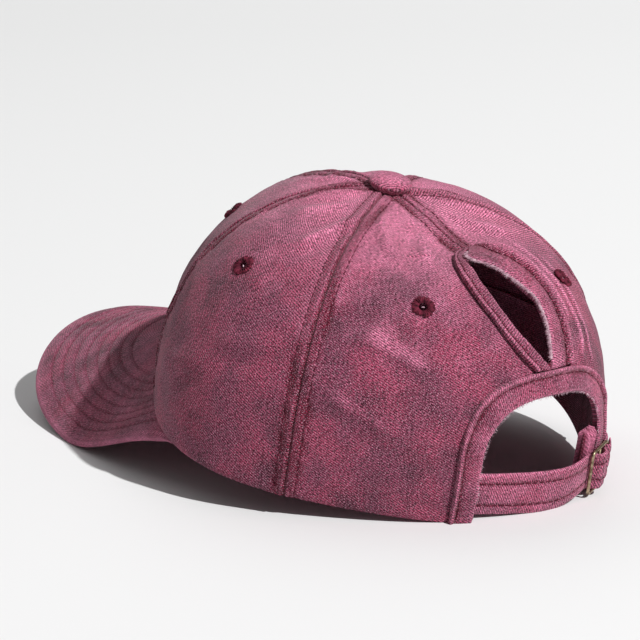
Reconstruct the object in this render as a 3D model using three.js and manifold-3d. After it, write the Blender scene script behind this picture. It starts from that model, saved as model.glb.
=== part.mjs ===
// A six-panel washed cotton cap with a ponytail slot, an arched back opening and a curved peak.
// Millimetres. +Z is up, the peak points to -Y and the wearer's left is +X.
// The cap is built on its own level hem, then tipped so that the back of the hem and the
// lowest places of the peak's edge lie on one floor, as the cap stands by itself.
import * as THREE from 'three';
import { mergeVertices } from 'three/addons/utils/BufferGeometryUtils.js';
import Module from 'manifold-3d';

const wasm = await Module();
wasm.setup();

const DEGREE = Math.PI / 180;
const HALF_TURN = Math.PI;

// Gap between pieces that are sewn or laid together
const GAP = 0.3;

// Crown, measured on its outer face
const CROWN_LENGTH = 186;
const CROWN_WIDTH = 175;
const CROWN_HEIGHT = 87.25;
const BACK_SHIFT = 6.7;
const DIAGONAL_TAKE = 3.8;
const APEX_FORWARD = 7.8;
const SQUARENESS = 2.28;
const BACK_SQUARENESS = 0.35;
const UNDERTURN = 7.4;
const FRONT_DIP = 4.4;
const SIDE_DIP = 5.4;
const FLATTENED_BACK = 9.3;
const BACK_DENT_DEPTH = 4;
const BACK_DENT_RISE = 0.84;
const BACK_DENT_SPREAD = 0.09;
const BACK_DENT_ANGLE = 35;
const CLOTH = 1.6;

// Seams between the panels, in degrees round from the middle of the front
const FRONT_SEAM = 56.5;
const SIDE_SEAM = 120;
const APEX_HOLE = 3;

// Button on top
const BUTTON_RADIUS = 8.6;
const BUTTON_HEIGHT = 5.2;

// Sewn eyelets, one in each panel, each so far up the cloth from the hem
const FRONT_EYELET_CLIMB = 68;
const SIDE_EYELET_CLIMB = 77;
const BACK_EYELET_CLIMB = 82;
const EYELET_RADIUS = 4.3;
const EYELET_HOLE = 1.6;
const EYELET_HEIGHT = 1.2;

// Peak, from the front of the hem
const PEAK_REACH = 74;
const PEAK_NOSE = 89;
const PEAK_SIDE = 22;
const PEAK_FLARE = 0.286;
const PEAK_PITCH = 22.5;
const PEAK_BEND_RADIUS = 77;
const PEAK_END = 85.5;
const PEAK_THICKNESS = 3;
const PEAK_EDGE_ROUND = 0.8;
const PEAK_RISE_FROM = 0.54;
const PEAK_END_THINNING = 0.5;

// Arched opening in the back and the strip that binds it
const ARCH_HALF_WIDTH = 31.5;
const ARCH_TOP = 48.6;
const ARCH_SPRING = 19;
const ARCH_SQUARENESS = 2.5;
const ARCH_BINDING_WIDTH = 9;
const BINDING_THICKNESS = 1.5;
const PANEL_SETBACK = 1;

// Slot for the hair above the arch, and the two strips that bind it
const SLOT_LENGTH = 61.5;
const SLOT_WIDTH = 39.6;
const SLOT_BINDING_THICKNESS = 1.5;

// Sweatband inside the hem
const BAND_HEIGHT = 32;
const BAND_THICKNESS = 1.2;
const BAND_EASE = 0.3;

// Strap across the foot of the arch, the tab that holds its wire buckle, and its spare end
const STRAP_WIDTH = 17;
const STRAP_IN_BUCKLE = 14.6;
const STRAP_THICKNESS = 1.6;
const STRAP_MIDDLE = 10.9;
const TAB_THICKNESS = 1;
const TAB_END = 47;
const BUCKLE_WIDTH = 15;
const BUCKLE_HEIGHT = 19;
const BUCKLE_WIRE = 1.4;
const BUCKLE_PLACE = 28.3;
const BUCKLE_MIDDLE = 13.4;
const BUCKLE_EASE = 0.3;
const BUCKLE_LEAN = 5;
const BUCKLE_FRONT_OUT = 3.3;
const SPARE_FOLDS = 4;
const SPARE_FOLD_WIDTH = 2.1;
const SPARE_DEPTH = 4;
const SPARE_FOOT = 8;
const SPARE_HEAD = 29.5;
const SPARE_FROM_LEG = 2;

// Parts that each curve is divided into
const PANEL_ACROSS = 10;
const PANEL_UP = 13;
const SEAM_MEASURES = 300;
const ARCH_LEG_STEPS = 3;
const ARCH_CURVE_STEPS = 22;
const SLOT_STEPS = 16;
const PEAK_STEPS = 36;
const PEAK_ROWS = 5;
const BAND_STEPS = 48;
const BAND_ROWS = 3;
const ROUTE_STEPS = 7;
const ROUND_SIDES = 14;

// Slot, from its foot (up 0) to its head (up 1), as shares of its length. The hole's edges and
// the strips' outer edges are shares of its width, wearer's left positive.
const SLOT_SECTIONS = [
  { up: 0.00, holeLeft: -0.01, holeRight: -0.01, outerLeft: 0.17, outerRight: -0.32 },
  { up: 0.10, holeLeft: 0.08, holeRight: -0.08, outerLeft: 0.29, outerRight: -0.41 },
  { up: 0.25, holeLeft: 0.20, holeRight: -0.18, outerLeft: 0.38, outerRight: -0.49 },
  { up: 0.45, holeLeft: 0.25, holeRight: -0.24, outerLeft: 0.44, outerRight: -0.55 },
  { up: 0.62, holeLeft: 0.26, holeRight: -0.13, outerLeft: 0.44, outerRight: -0.51 },
  { up: 0.76, holeLeft: 0.22, holeRight: -0.02, outerLeft: 0.40, outerRight: -0.44 },
  { up: 0.86, holeLeft: 0.23, holeRight: 0.16, outerLeft: 0.31, outerRight: -0.37 },
  { up: 0.95, holeLeft: 0.11, holeRight: 0.05, outerLeft: 0.16, outerRight: -0.25 },
  { up: 1.00, holeLeft: -0.07, holeRight: -0.07, outerLeft: -0.01, outerRight: -0.14 },
];

// Cross-section of a binding strip: across as a share of its width from the open edge,
// out as a share of its thickness. The outer edge stands up in a sewn ridge.
const BINDING_SECTION = [
  { across: 0.00, out: 0.0 },
  { across: 0.50, out: 0.0 },
  { across: 1.00, out: 0.0 },
  { across: 1.00, out: 1.0 },
  { across: 0.90, out: 1.3 },
  { across: 0.76, out: 0.9 },
  { across: 0.38, out: 0.9 },
  { across: 0.00, out: 0.9 },
];

// Small helpers

function mix(from, to, share) {
  return from + (to - from) * share;
}

function readTable(table, keyColumn, column, key) {
  const last = table.length - 1;
  let row = 0;
  while (row < last - 1 && table[row + 1][keyColumn] < key) row += 1;
  const low = table[row];
  const high = table[row + 1];
  const share = THREE.MathUtils.clamp((key - low[keyColumn]) / (high[keyColumn] - low[keyColumn]), 0, 1);
  return mix(low[column], high[column], share);
}

// Crown surface. turn is the angle round from the front, rise runs from 0 at the hem to 1 at the top.

function hemOutline(turn) {
  const side = Math.sin(turn);
  const front = Math.cos(turn);
  const oval = 1 / Math.hypot(side / (CROWN_WIDTH / 2), front / (CROWN_LENGTH / 2));
  const reach = oval - BACK_SHIFT * front + DIAGONAL_TAKE * Math.cos(4 * turn);
  return new THREE.Vector2(reach * side, -reach * front);
}

function hemHeight(turn) {
  return -FRONT_DIP * Math.max(0, Math.cos(turn)) ** 2 - SIDE_DIP * Math.sin(turn) ** 2;
}

function crownPower(turn) {
  return 2 / (SQUARENESS - BACK_SQUARENESS * Math.cos(turn));
}

// How far the soft cloth has sunk between the button and the slot
function backDent(turn, rise) {
  const around = Math.acos(-Math.cos(turn)) / (BACK_DENT_ANGLE * DEGREE);
  const along = (rise - BACK_DENT_RISE) / BACK_DENT_SPREAD;
  return BACK_DENT_DEPTH * Math.exp(-around * around - along * along);
}

function crownSurface(turn, rise) {
  const power = crownPower(turn);
  const under = UNDERTURN * DEGREE;
  const climb = rise * (HALF_TURN / 2 + under) - under;
  const spread = (Math.max(0, Math.cos(climb)) / Math.cos(under)) ** power;
  const below = Math.sin(under) ** power;
  const height = Math.sign(climb) * Math.abs(Math.sin(climb)) ** power;
  const lift = Math.max(0, (height + below) / (1 + below));
  const hem = hemOutline(turn);
  return new THREE.Vector3(
    hem.x * spread,
    hem.y * spread - APEX_FORWARD * lift ** 1.5,
    mix(hemHeight(turn), CROWN_HEIGHT, lift) - backDent(turn, rise),
  );
}

function crownNormal(turn, rise) {
  const step = 0.004;
  const middle = THREE.MathUtils.clamp(rise, step, 1 - 3 * step);
  const around = crownSurface(turn + step, middle).sub(crownSurface(turn - step, middle));
  const upward = crownSurface(turn, middle + step).sub(crownSurface(turn, middle - step));
  return around.cross(upward).normalize();
}

function riseAtRadius(turn, radius) {
  const under = UNDERTURN * DEGREE;
  const spread = radius / hemOutline(turn).length();
  const cosine = Math.cos(under) * spread ** (1 / crownPower(turn));
  return (Math.acos(cosine) + under) / (HALF_TURN / 2 + under);
}

// Peak: its outer edge is one smooth curve from the nose back to the hem on each side

const frontOfHem = -hemOutline(0).y;
const peakCorner = hemOutline(PEAK_END * DEGREE);
const peakEdge = new THREE.CubicBezierCurve(
  new THREE.Vector2(0, -frontOfHem - PEAK_REACH),
  new THREE.Vector2(PEAK_NOSE, -frontOfHem - PEAK_REACH),
  new THREE.Vector2(peakCorner.x - PEAK_FLARE * PEAK_SIDE, peakCorner.y - PEAK_SIDE),
  peakCorner,
);

function peakFall(x, y) {
  const forward = -y - frontOfHem;
  return -FRONT_DIP - Math.tan(PEAK_PITCH * DEGREE) * forward - x * x / (2 * PEAK_BEND_RADIUS);
}

// side runs from -1 to 1 across the peak and depth from 0 at the crown to 1 at the edge
function peakTop(side, depth) {
  const share = Math.abs(side);
  const turn = side * PEAK_END * DEGREE;
  const normal = crownNormal(turn, 0);
  const root = crownSurface(turn, 0).addScaledVector(normal, -CLOTH);
  const edge = peakEdge.getPoint(share);
  const x = edge.x * Math.sign(side);
  const rising = THREE.MathUtils.smoothstep(share, PEAK_RISE_FROM, 1);
  const edgeHeight = mix(peakFall(x, edge.y), hemHeight(PEAK_END * DEGREE), rising);
  return new THREE.Vector3(
    mix(root.x, x, depth),
    mix(root.y, edge.y, depth),
    mix(hemHeight(turn), edgeHeight, depth) - GAP,
  );
}

function peakThickness(side) {
  return PEAK_THICKNESS * (1 - PEAK_END_THINNING * side ** 6);
}

// Floor: it passes under the flattened back of the hem and the lowest place under the peak

const floorPivot = hemOutline(HALF_TURN).y - FLATTENED_BACK;

function steepestUnderPeak() {
  let slope = 0;
  for (let step = 0; step <= PEAK_STEPS; step += 1) {
    const side = step / PEAK_STEPS;
    const edge = peakTop(side, 1);
    const lowest = edge.z - peakThickness(side);
    slope = Math.max(slope, lowest / (edge.y - floorPivot));
  }
  return slope;
}

const floorSlope = steepestUnderPeak();

function aboveFloor(point) {
  point.z = Math.max(point.z, (point.y - floorPivot) * floorSlope);
  return point;
}

// A place on the crown's cloth, out from its outer face, flattened where it would pass the floor
function onCrown(turn, rise, out) {
  return aboveFloor(crownSurface(turn, rise).addScaledVector(crownNormal(turn, rise), out));
}

// Distances along the cloth, up a line of the crown from the hem

function measureLine(turn) {
  const line = [{ rise: 0, climb: 0 }];
  let before = crownSurface(turn, 0);
  let climb = 0;
  for (let step = 1; step <= SEAM_MEASURES; step += 1) {
    const rise = step / SEAM_MEASURES;
    const here = crownSurface(turn, rise);
    climb += here.distanceTo(before);
    line.push({ rise, climb });
    before = here;
  }
  return line;
}

function riseAfter(line, climb) {
  return readTable(line, 'climb', 'rise', climb);
}

const backLine = measureLine(HALF_TURN);

// A place measured on the cloth from the foot of the back seam: across to the wearer's left, and up
function onBack(across, up, out) {
  const rise = riseAfter(backLine, Math.max(0, up));
  const step = 0.01;
  const beside = crownSurface(HALF_TURN - step, rise);
  const girthPerTurn = beside.distanceTo(crownSurface(HALF_TURN, rise)) / step;
  return onCrown(HALF_TURN - across / girthPerTurn, rise, out);
}

// Closed meshes from sections and grids

function signedVolume(points, faces) {
  let total = 0;
  for (const [a, b, c] of faces) {
    total += points[a].dot(points[b].clone().cross(points[c])) / 6;
  }
  return total;
}

function closedGeometry(points, faces) {
  const turned = signedVolume(points, faces) < 0;
  const order = turned ? faces.map(([a, b, c]) => [a, c, b]) : faces;
  const geometry = new THREE.BufferGeometry().setFromPoints(points);
  geometry.setIndex(order.flat());
  geometry.computeVertexNormals();
  return geometry;
}

// Rings of equal length joined one after the other, with a flat cap on the first and the last
function loft(rings) {
  const size = rings[0].length;
  const faces = [];
  for (let row = 0; row < rings.length - 1; row += 1) {
    for (let spot = 0; spot < size; spot += 1) {
      const a = row * size + spot;
      const b = row * size + (spot + 1) % size;
      faces.push([a, b, b + size], [a, b + size, a + size]);
    }
  }
  const capOf = (ring) => {
    const centre = ring.reduce((sum, point) => sum.add(point), new THREE.Vector3()).divideScalar(size);
    const first = ring[0].clone().sub(centre).normalize();
    const normal = new THREE.Vector3();
    ring.forEach((point, spot) => {
      const next = ring[(spot + 1) % size].clone().sub(centre);
      normal.add(point.clone().sub(centre).cross(next));
    });
    const second = normal.normalize().clone().cross(first);
    const flat = ring.map((point) => {
      const arm = point.clone().sub(centre);
      return new THREE.Vector2(arm.dot(first), arm.dot(second));
    });
    return THREE.ShapeUtils.triangulateShape(flat, []);
  };
  const last = (rings.length - 1) * size;
  for (const [a, b, c] of capOf(rings[0])) faces.push([a, c, b]);
  for (const [a, b, c] of capOf(rings[rings.length - 1])) faces.push([a + last, b + last, c + last]);
  return closedGeometry(rings.flat(), faces);
}

// A sheet with a wall: skin(across, up, face) gives its outer face for 0 and its inner face for 1
function sheet(skin, acrossSteps, upSteps) {
  const rings = [];
  for (let column = 0; column <= acrossSteps; column += 1) {
    const ring = [];
    for (let row = 0; row <= upSteps; row += 1) ring.push(skin(column / acrossSteps, row / upSteps, 0));
    for (let row = upSteps; row >= 0; row -= 1) ring.push(skin(column / acrossSteps, row / upSteps, 1));
    rings.push(ring);
  }
  const size = 2 * (upSteps + 1);
  const faces = [];
  for (let column = 0; column < acrossSteps; column += 1) {
    for (let spot = 0; spot < size; spot += 1) {
      const a = column * size + spot;
      const b = column * size + (spot + 1) % size;
      faces.push([a, b, b + size], [a, b + size, a + size]);
    }
  }
  for (const [start, flip] of [[0, true], [acrossSteps * size, false]]) {
    for (let row = 0; row < upSteps; row += 1) {
      const a = start + row;
      const c = start + size - 1 - row;
      const quad = [[a, a + 1, c - 1], [a, c - 1, c]];
      for (const [p, q, r] of quad) faces.push(flip ? [p, r, q] : [p, q, r]);
    }
  }
  return closedGeometry(rings.flat(), faces);
}

// Cutting with manifold

function toSolid(geometry) {
  const bare = geometry.clone();
  bare.deleteAttribute('normal');
  bare.deleteAttribute('uv');
  const merged = mergeVertices(bare, 1e-4);
  return new wasm.Manifold(new wasm.Mesh({
    numProp: 3,
    vertProperties: new Float32Array(merged.attributes.position.array),
    triVerts: new Uint32Array(merged.index.array),
  }));
}

function toGeometry(solid) {
  const mesh = solid.getMesh();
  const geometry = new THREE.BufferGeometry();
  geometry.setAttribute('position', new THREE.BufferAttribute(mesh.vertProperties, 3));
  geometry.setIndex(new THREE.BufferAttribute(mesh.triVerts, 1));
  geometry.computeVertexNormals();
  return geometry;
}

function cutAway(geometry, cutters) {
  let solid = toSolid(geometry);
  for (const cutter of cutters) solid = solid.subtract(toSolid(cutter));
  return toGeometry(solid);
}

// Outlines of the arch and the slot on the cloth

// share runs from -1 at the foot of the right leg to 1 at the foot of the left one
function archOutline(share, outset) {
  const half = ARCH_HALF_WIDTH + outset;
  const legShare = ARCH_LEG_STEPS / (ARCH_LEG_STEPS + ARCH_CURVE_STEPS / 2);
  const fromTop = Math.abs(share);
  const side = Math.sign(share);
  if (fromTop > 1 - legShare) {
    return { across: side * half, up: ARCH_SPRING * (1 - fromTop) / legShare };
  }
  const angle = HALF_TURN / 2 * fromTop / (1 - legShare);
  const power = 2 / ARCH_SQUARENESS;
  return {
    across: side * half * Math.sin(angle) ** power,
    up: mix(ARCH_SPRING, ARCH_TOP + outset, Math.cos(angle) ** power),
  };
}

const ARCH_STATIONS = 2 * ARCH_LEG_STEPS + ARCH_CURVE_STEPS;
const slotFoot = ARCH_TOP + ARCH_BINDING_WIDTH + GAP;

function slotEdge(column, share) {
  return SLOT_WIDTH * readTable(SLOT_SECTIONS, 'up', column, share);
}

// The arch is cut straight through the back, along Y
function archCutter() {
  const outline = [];
  for (let station = 0; station <= ARCH_STATIONS; station += 1) {
    const place = archOutline(2 * station / ARCH_STATIONS - 1, PANEL_SETBACK);
    outline.push(onBack(place.across, place.up, 0));
  }
  const drop = 3 * CLOTH;
  const first = outline[0].clone();
  const last = outline[outline.length - 1].clone();
  first.z -= drop + first.z;
  last.z -= drop + last.z;
  const ring = [first, ...outline, last];
  const inside = APEX_FORWARD;
  const outside = CROWN_LENGTH;
  return loft([inside, outside].map((y) => ring.map((point) => new THREE.Vector3(point.x, y, point.z))));
}

// The slot is cut square to the cloth
function slotCutter() {
  const left = [];
  const right = [];
  for (let step = 1; step < SLOT_STEPS; step += 1) {
    const share = 0.86 * step / SLOT_STEPS;
    const up = slotFoot + SLOT_LENGTH * share;
    left.push([slotEdge('holeLeft', share) + PANEL_SETBACK / 2, up]);
    right.unshift([slotEdge('holeRight', share) - PANEL_SETBACK / 2, up]);
  }
  const reach = 3 * CLOTH;
  return loft([-reach, reach].map((out) => [...left, ...right].map(([across, up]) => onBack(across, up, out))));
}

// Eyelets sit in the middle of each panel

function eyeletPlace(turn, climb) {
  const rise = riseAfter(measureLine(turn), climb);
  return { point: crownSurface(turn, rise), normal: crownNormal(turn, rise) };
}

function standOn(object, point, normal, lift) {
  object.position.copy(point).addScaledVector(normal, lift);
  object.quaternion.setFromUnitVectors(new THREE.Vector3(0, 0, 1), normal);
}

function eyeletCutter(turn, climb) {
  const { point, normal } = eyeletPlace(turn, climb);
  const geometry = new THREE.CylinderGeometry(EYELET_HOLE, EYELET_HOLE, 6 * CLOTH, ROUND_SIDES - 4);
  geometry.rotateX(HALF_TURN / 2);
  const holder = new THREE.Object3D();
  standOn(holder, point, normal, 0);
  holder.updateMatrix();
  return geometry.applyMatrix4(holder.matrix);
}

// Profiles turned about Z
function turned(profile, sides) {
  const points = profile.map(([radius, height]) => new THREE.Vector2(radius, height));
  return new THREE.LatheGeometry(points, sides).rotateX(HALF_TURN / 2);
}

// Pieces

function panelGeometry(fromTurn, toTurn) {
  const skin = (across, up, face) => {
    const plain = mix(fromTurn, toTurn, across);
    const rise = up * riseAtRadius(plain, APEX_HOLE);
    const radius = crownSurface(plain, rise).setZ(0).distanceTo(new THREE.Vector3(0, -APEX_FORWARD * up, 0));
    const inset = GAP / 2 / Math.max(radius, APEX_HOLE);
    const turn = mix(fromTurn + inset, toTurn - inset, across);
    return onCrown(turn, rise, -CLOTH * face);
  };
  return sheet(skin, PANEL_ACROSS, PANEL_UP);
}

function peakGeometry() {
  const rings = [];
  for (let step = 0; step <= PEAK_STEPS; step += 1) {
    const side = 2 * step / PEAK_STEPS - 1;
    const thickness = peakThickness(side);
    const ring = [];
    for (let row = 0; row <= PEAK_ROWS; row += 1) ring.push(peakTop(side, row / PEAK_ROWS));
    const edge = peakTop(side, 1);
    const outward = edge.clone().sub(peakTop(side, 0)).setZ(0).normalize();
    const rounding = PEAK_EDGE_ROUND * (1 - side ** 6);
    ring.push(edge.clone().addScaledVector(outward, rounding).setZ(edge.z - thickness / 2));
    for (let row = PEAK_ROWS; row >= 0; row -= 1) {
      const under = peakTop(side, row / PEAK_ROWS);
      ring.push(under.setZ(under.z - thickness));
    }
    rings.push(ring);
  }
  return loft(rings);
}

function archBindingGeometry() {
  const rings = [];
  for (let station = 0; station <= ARCH_STATIONS; station += 1) {
    const share = 2 * station / ARCH_STATIONS - 1;
    rings.push(BINDING_SECTION.map(({ across, out }) => {
      const place = archOutline(share, across * ARCH_BINDING_WIDTH);
      return onBack(place.across, place.up, GAP + out * BINDING_THICKNESS);
    }));
  }
  return loft(rings);
}

function slotBindingGeometry(side) {
  const hole = side > 0 ? 'holeLeft' : 'holeRight';
  const outer = side > 0 ? 'outerLeft' : 'outerRight';
  const rings = [];
  for (let step = 0; step <= SLOT_STEPS; step += 1) {
    const share = step / SLOT_STEPS;
    const up = slotFoot + SLOT_LENGTH * share;
    const open = slotEdge(hole, share) + side * GAP / 2;
    const far = slotEdge(outer, share);
    rings.push(BINDING_SECTION.map(({ across, out }) => (
      onBack(mix(open, far, across), up, GAP + out * SLOT_BINDING_THICKNESS)
    )));
  }
  return loft(rings);
}

function bandGeometry() {
  const backGirth = hemOutline(HALF_TURN).length();
  const endTurn = HALF_TURN - (ARCH_HALF_WIDTH + ARCH_BINDING_WIDTH) / backGirth;
  const skin = (across, up, face) => {
    const turn = mix(-endTurn, endTurn, across);
    const rise = riseAfter(measureLine(turn), BAND_HEIGHT * up);
    return onCrown(turn, rise, -CLOTH - GAP - BAND_EASE - BAND_THICKNESS * face);
  };
  return sheet(skin, BAND_STEPS, BAND_ROWS);
}

// Strap, tab and buckle. Their routes are drawn as across and out, as the cap is seen from below.

const strapHalf = STRAP_THICKNESS / 2;
const tabHalf = TAB_THICKNESS / 2;
const barHalf = BUCKLE_WIRE / 2;
const barSpacing = (BUCKLE_WIDTH - BUCKLE_WIRE) / 2;
const overStrap = barHalf + GAP + BUCKLE_EASE + strapHalf;
const ridgeOut = GAP + BINDING_THICKNESS * Math.max(...BINDING_SECTION.map(({ out }) => out));
const tabTurn = barHalf * Math.SQRT2 + GAP + BUCKLE_EASE + tabHalf;
const tabOnLeg = ridgeOut + GAP + tabHalf;
const rearBar = new THREE.Vector2(-BUCKLE_PLACE - barSpacing, tabOnLeg + tabTurn);
const frontBar = new THREE.Vector2(-BUCKLE_PLACE + barSpacing, BUCKLE_FRONT_OUT);
const middleBar = frontBar.clone().lerp(rearBar, 0.5);

// One level piece of a route joined to the next by an even swing
function swing(path, across, out) {
  const from = path.currentPoint.clone();
  const half = (from.x + across) / 2;
  path.bezierCurveTo(half, from.y, half, out, across, out);
}

function strapRoute() {
  const inside = -CLOTH - GAP - BAND_EASE - strapHalf;
  const path = new THREE.Path();
  path.moveTo(ARCH_HALF_WIDTH + ARCH_BINDING_WIDTH - 2 * GAP, inside);
  path.lineTo(ARCH_HALF_WIDTH - STRAP_THICKNESS, inside);
  swing(path, frontBar.x + BUCKLE_WIRE, frontBar.y - overStrap);
  path.lineTo(frontBar.x - barHalf, frontBar.y - overStrap);
  swing(path, middleBar.x + barHalf, middleBar.y + overStrap);
  path.lineTo(middleBar.x - barHalf, middleBar.y + overStrap);
  swing(path, middleBar.x - barSpacing / 2, middleBar.y + barHalf);
  return path.getPoints(ROUTE_STEPS);
}

function tabRoute() {
  const path = new THREE.Path();
  const foldEnd = -ARCH_HALF_WIDTH - ARCH_BINDING_WIDTH;
  path.moveTo(-TAB_END, GAP + tabHalf);
  swing(path, foldEnd - GAP, tabOnLeg);
  path.lineTo(rearBar.x, tabOnLeg);
  path.absarc(rearBar.x, rearBar.y, tabTurn, -HALF_TURN / 2, HALF_TURN / 2, false);
  path.lineTo(foldEnd, tabOnLeg + TAB_THICKNESS + GAP);
  return path.getPoints(ROUTE_STEPS);
}

// A ribbon that follows a route on its edge, and takes the buckle's lean where it nears it
function ribbonGeometry(route, thickness) {
  const lean = Math.tan(BUCKLE_LEAN * DEGREE);
  const rings = route.map((place, spot) => {
    const before = route[Math.max(0, spot - 1)];
    const after = route[Math.min(route.length - 1, spot + 1)];
    const along = after.clone().sub(before).normalize();
    const sideways = new THREE.Vector2(-along.y, along.x).multiplyScalar(thickness / 2);
    const nearness = THREE.MathUtils.smoothstep(-place.x, 0, -frontBar.x);
    const middle = mix(STRAP_MIDDLE, BUCKLE_MIDDLE - lean * (place.x + BUCKLE_PLACE), nearness);
    const half = mix(STRAP_WIDTH, STRAP_IN_BUCKLE, nearness) / 2;
    const corner = (up, depth) => {
      const across = place.x + depth * sideways.x + nearness * lean * up * half;
      return onBack(across, middle + up * half, place.y + depth * sideways.y);
    };
    return [corner(-1, -1), corner(-1, 1), corner(1, 1), corner(1, -1)];
  });
  return loft(rings);
}

// A frame on the cloth's back: X from one place to the next, Y up the cloth, Z outwards
function backFrame(from, to, up) {
  const start = onBack(from.x, up, from.y);
  const end = onBack(to.x, up, to.y);
  const origin = start.clone().lerp(end, 0.5);
  const sideways = end.clone().sub(start).normalize();
  const upward = onBack(from.x, up + 1, from.y).sub(start);
  const outward = sideways.clone().cross(upward).normalize();
  upward.crossVectors(outward, sideways);
  return new THREE.Matrix4().makeBasis(sideways, upward, outward).setPosition(origin);
}

function buckleGeometry() {
  const window = (BUCKLE_WIDTH - 3 * BUCKLE_WIRE) / 2;
  const cutter = new THREE.BoxGeometry(window, BUCKLE_HEIGHT - 2 * BUCKLE_WIRE, 3 * BUCKLE_WIRE);
  const places = [-1, 1].map((side) => cutter.clone().translate(side * (window + BUCKLE_WIRE) / 2, 0, 0));
  return cutAway(new THREE.BoxGeometry(BUCKLE_WIDTH, BUCKLE_HEIGHT, BUCKLE_WIRE), places);
}

// The spare end of the strap, bunched in upright folds behind it
function spareGeometry() {
  const outline = new THREE.Shape();
  const bulge = SPARE_FOLD_WIDTH / 2;
  const depth = SPARE_DEPTH / 2 - bulge;
  const start = -SPARE_FOLDS * bulge;
  outline.moveTo(start, -depth);
  for (let fold = 0; fold < SPARE_FOLDS; fold += 1) {
    outline.absarc(start + (2 * fold + 1) * bulge, -depth, bulge, HALF_TURN, 2 * HALF_TURN, false);
  }
  outline.lineTo(-start, depth);
  for (let fold = SPARE_FOLDS - 1; fold >= 0; fold -= 1) {
    outline.absarc(start + (2 * fold + 1) * bulge, depth, bulge, 0, HALF_TURN, false);
  }
  const height = SPARE_HEAD - SPARE_FOOT;
  return new THREE.ExtrudeGeometry(outline, { depth: height, bevelEnabled: false, curveSegments: 4 })
    .rotateX(-HALF_TURN / 2);
}

// Materials

function cloth(colour, roughness) {
  return new THREE.MeshStandardMaterial({ color: colour, roughness, metalness: 0 });
}

const PANEL_COLOUR = 0x8f4a66;
const SHADED_COLOUR = 0x7d3c57;
const BINDING_COLOUR = 0x9c5873;
const THREAD_COLOUR = 0x7a2440;
const BRASS_COLOUR = 0x9c8358;

// Assembly

const cap = new THREE.Group();

function addPiece(name, geometry, material, parent = cap) {
  const mesh = new THREE.Mesh(geometry, material);
  mesh.name = name;
  parent.add(mesh);
  return mesh;
}

const frontSeam = FRONT_SEAM * DEGREE;
const sideSeam = SIDE_SEAM * DEGREE;
const panels = [
  { name: 'front', from: 0, to: frontSeam, climb: FRONT_EYELET_CLIMB, cutters: [] },
  { name: 'side', from: frontSeam, to: sideSeam, climb: SIDE_EYELET_CLIMB, cutters: [] },
  {
    name: 'back',
    from: sideSeam,
    to: HALF_TURN,
    climb: BACK_EYELET_CLIMB,
    cutters: [archCutter, slotCutter],
  },
];

for (const { name, from, to, climb, cutters } of panels) {
  for (const [sideName, side] of [['left', 1], ['right', -1]]) {
    const middle = side * (from + to) / 2;
    const cuts = [eyeletCutter(middle, climb), ...cutters.map((make) => make())];
    const [low, high] = side > 0 ? [from, to] : [-to, -from];
    addPiece(`panel_${name}_${sideName}`, cutAway(panelGeometry(low, high), cuts), cloth(PANEL_COLOUR, 0.95));

    const eyelet = addPiece(`eyelet_${name}_${sideName}`, turned([
      [EYELET_HOLE, 0],
      [EYELET_RADIUS, 0],
      [EYELET_RADIUS, EYELET_HEIGHT / 3],
      [(EYELET_HOLE + EYELET_RADIUS) / 2, EYELET_HEIGHT],
      [EYELET_HOLE, EYELET_HEIGHT / 3],
      [EYELET_HOLE, 0],
    ], ROUND_SIDES), cloth(THREAD_COLOUR, 0.8));
    const { point, normal } = eyeletPlace(middle, climb);
    standOn(eyelet, point, normal, GAP);
  }
}

const button = addPiece('button', turned([
  [0, 0],
  [BUTTON_RADIUS * 0.95, 0],
  [BUTTON_RADIUS, BUTTON_HEIGHT * 0.2],
  [BUTTON_RADIUS * 0.9, BUTTON_HEIGHT * 0.55],
  [BUTTON_RADIUS * 0.65, BUTTON_HEIGHT * 0.85],
  [BUTTON_RADIUS * 0.3, BUTTON_HEIGHT * 0.98],
  [0, BUTTON_HEIGHT],
], ROUND_SIDES + 4), cloth(PANEL_COLOUR, 0.95));
button.position.set(0, -APEX_FORWARD, CROWN_HEIGHT + GAP);

addPiece('peak', peakGeometry(), cloth(PANEL_COLOUR, 0.95));
addPiece('arch_binding', archBindingGeometry(), cloth(BINDING_COLOUR, 0.95));
addPiece('slot_binding_left', slotBindingGeometry(1), cloth(BINDING_COLOUR, 0.95));
addPiece('slot_binding_right', slotBindingGeometry(-1), cloth(BINDING_COLOUR, 0.95));
addPiece('sweatband', bandGeometry(), cloth(SHADED_COLOUR, 0.95));
addPiece('strap', ribbonGeometry(strapRoute(), STRAP_THICKNESS), cloth(BINDING_COLOUR, 0.95));
addPiece('strap_tab', ribbonGeometry(tabRoute(), TAB_THICKNESS), cloth(BINDING_COLOUR, 0.95));

const brass = new THREE.MeshStandardMaterial({ color: BRASS_COLOUR, roughness: 0.4, metalness: 1 });
const fastening = new THREE.Group();
backFrame(frontBar, rearBar, BUCKLE_MIDDLE)
  .decompose(fastening.position, fastening.quaternion, fastening.scale);
cap.add(fastening);
addPiece('buckle', buckleGeometry(), brass, fastening).rotation.z = BUCKLE_LEAN * DEGREE;

const spareHalf = SPARE_FOLDS * SPARE_FOLD_WIDTH / 2;
const spareOut = frontBar.y - overStrap - strapHalf - GAP - BUCKLE_EASE - SPARE_DEPTH / 2;
const spareRight = new THREE.Vector2(-ARCH_HALF_WIDTH + SPARE_FROM_LEG, spareOut);
const spareLeft = new THREE.Vector2(spareRight.x + 2 * spareHalf, spareOut);
const spare = new THREE.Group();
backFrame(spareLeft, spareRight, SPARE_FOOT)
  .decompose(spare.position, spare.quaternion, spare.scale);
cap.add(spare);
addPiece('strap_spare_end', spareGeometry(), cloth(BINDING_COLOUR, 0.95), spare);

// Stand the cap on its floor, with the origin under the middle of its box

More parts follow.
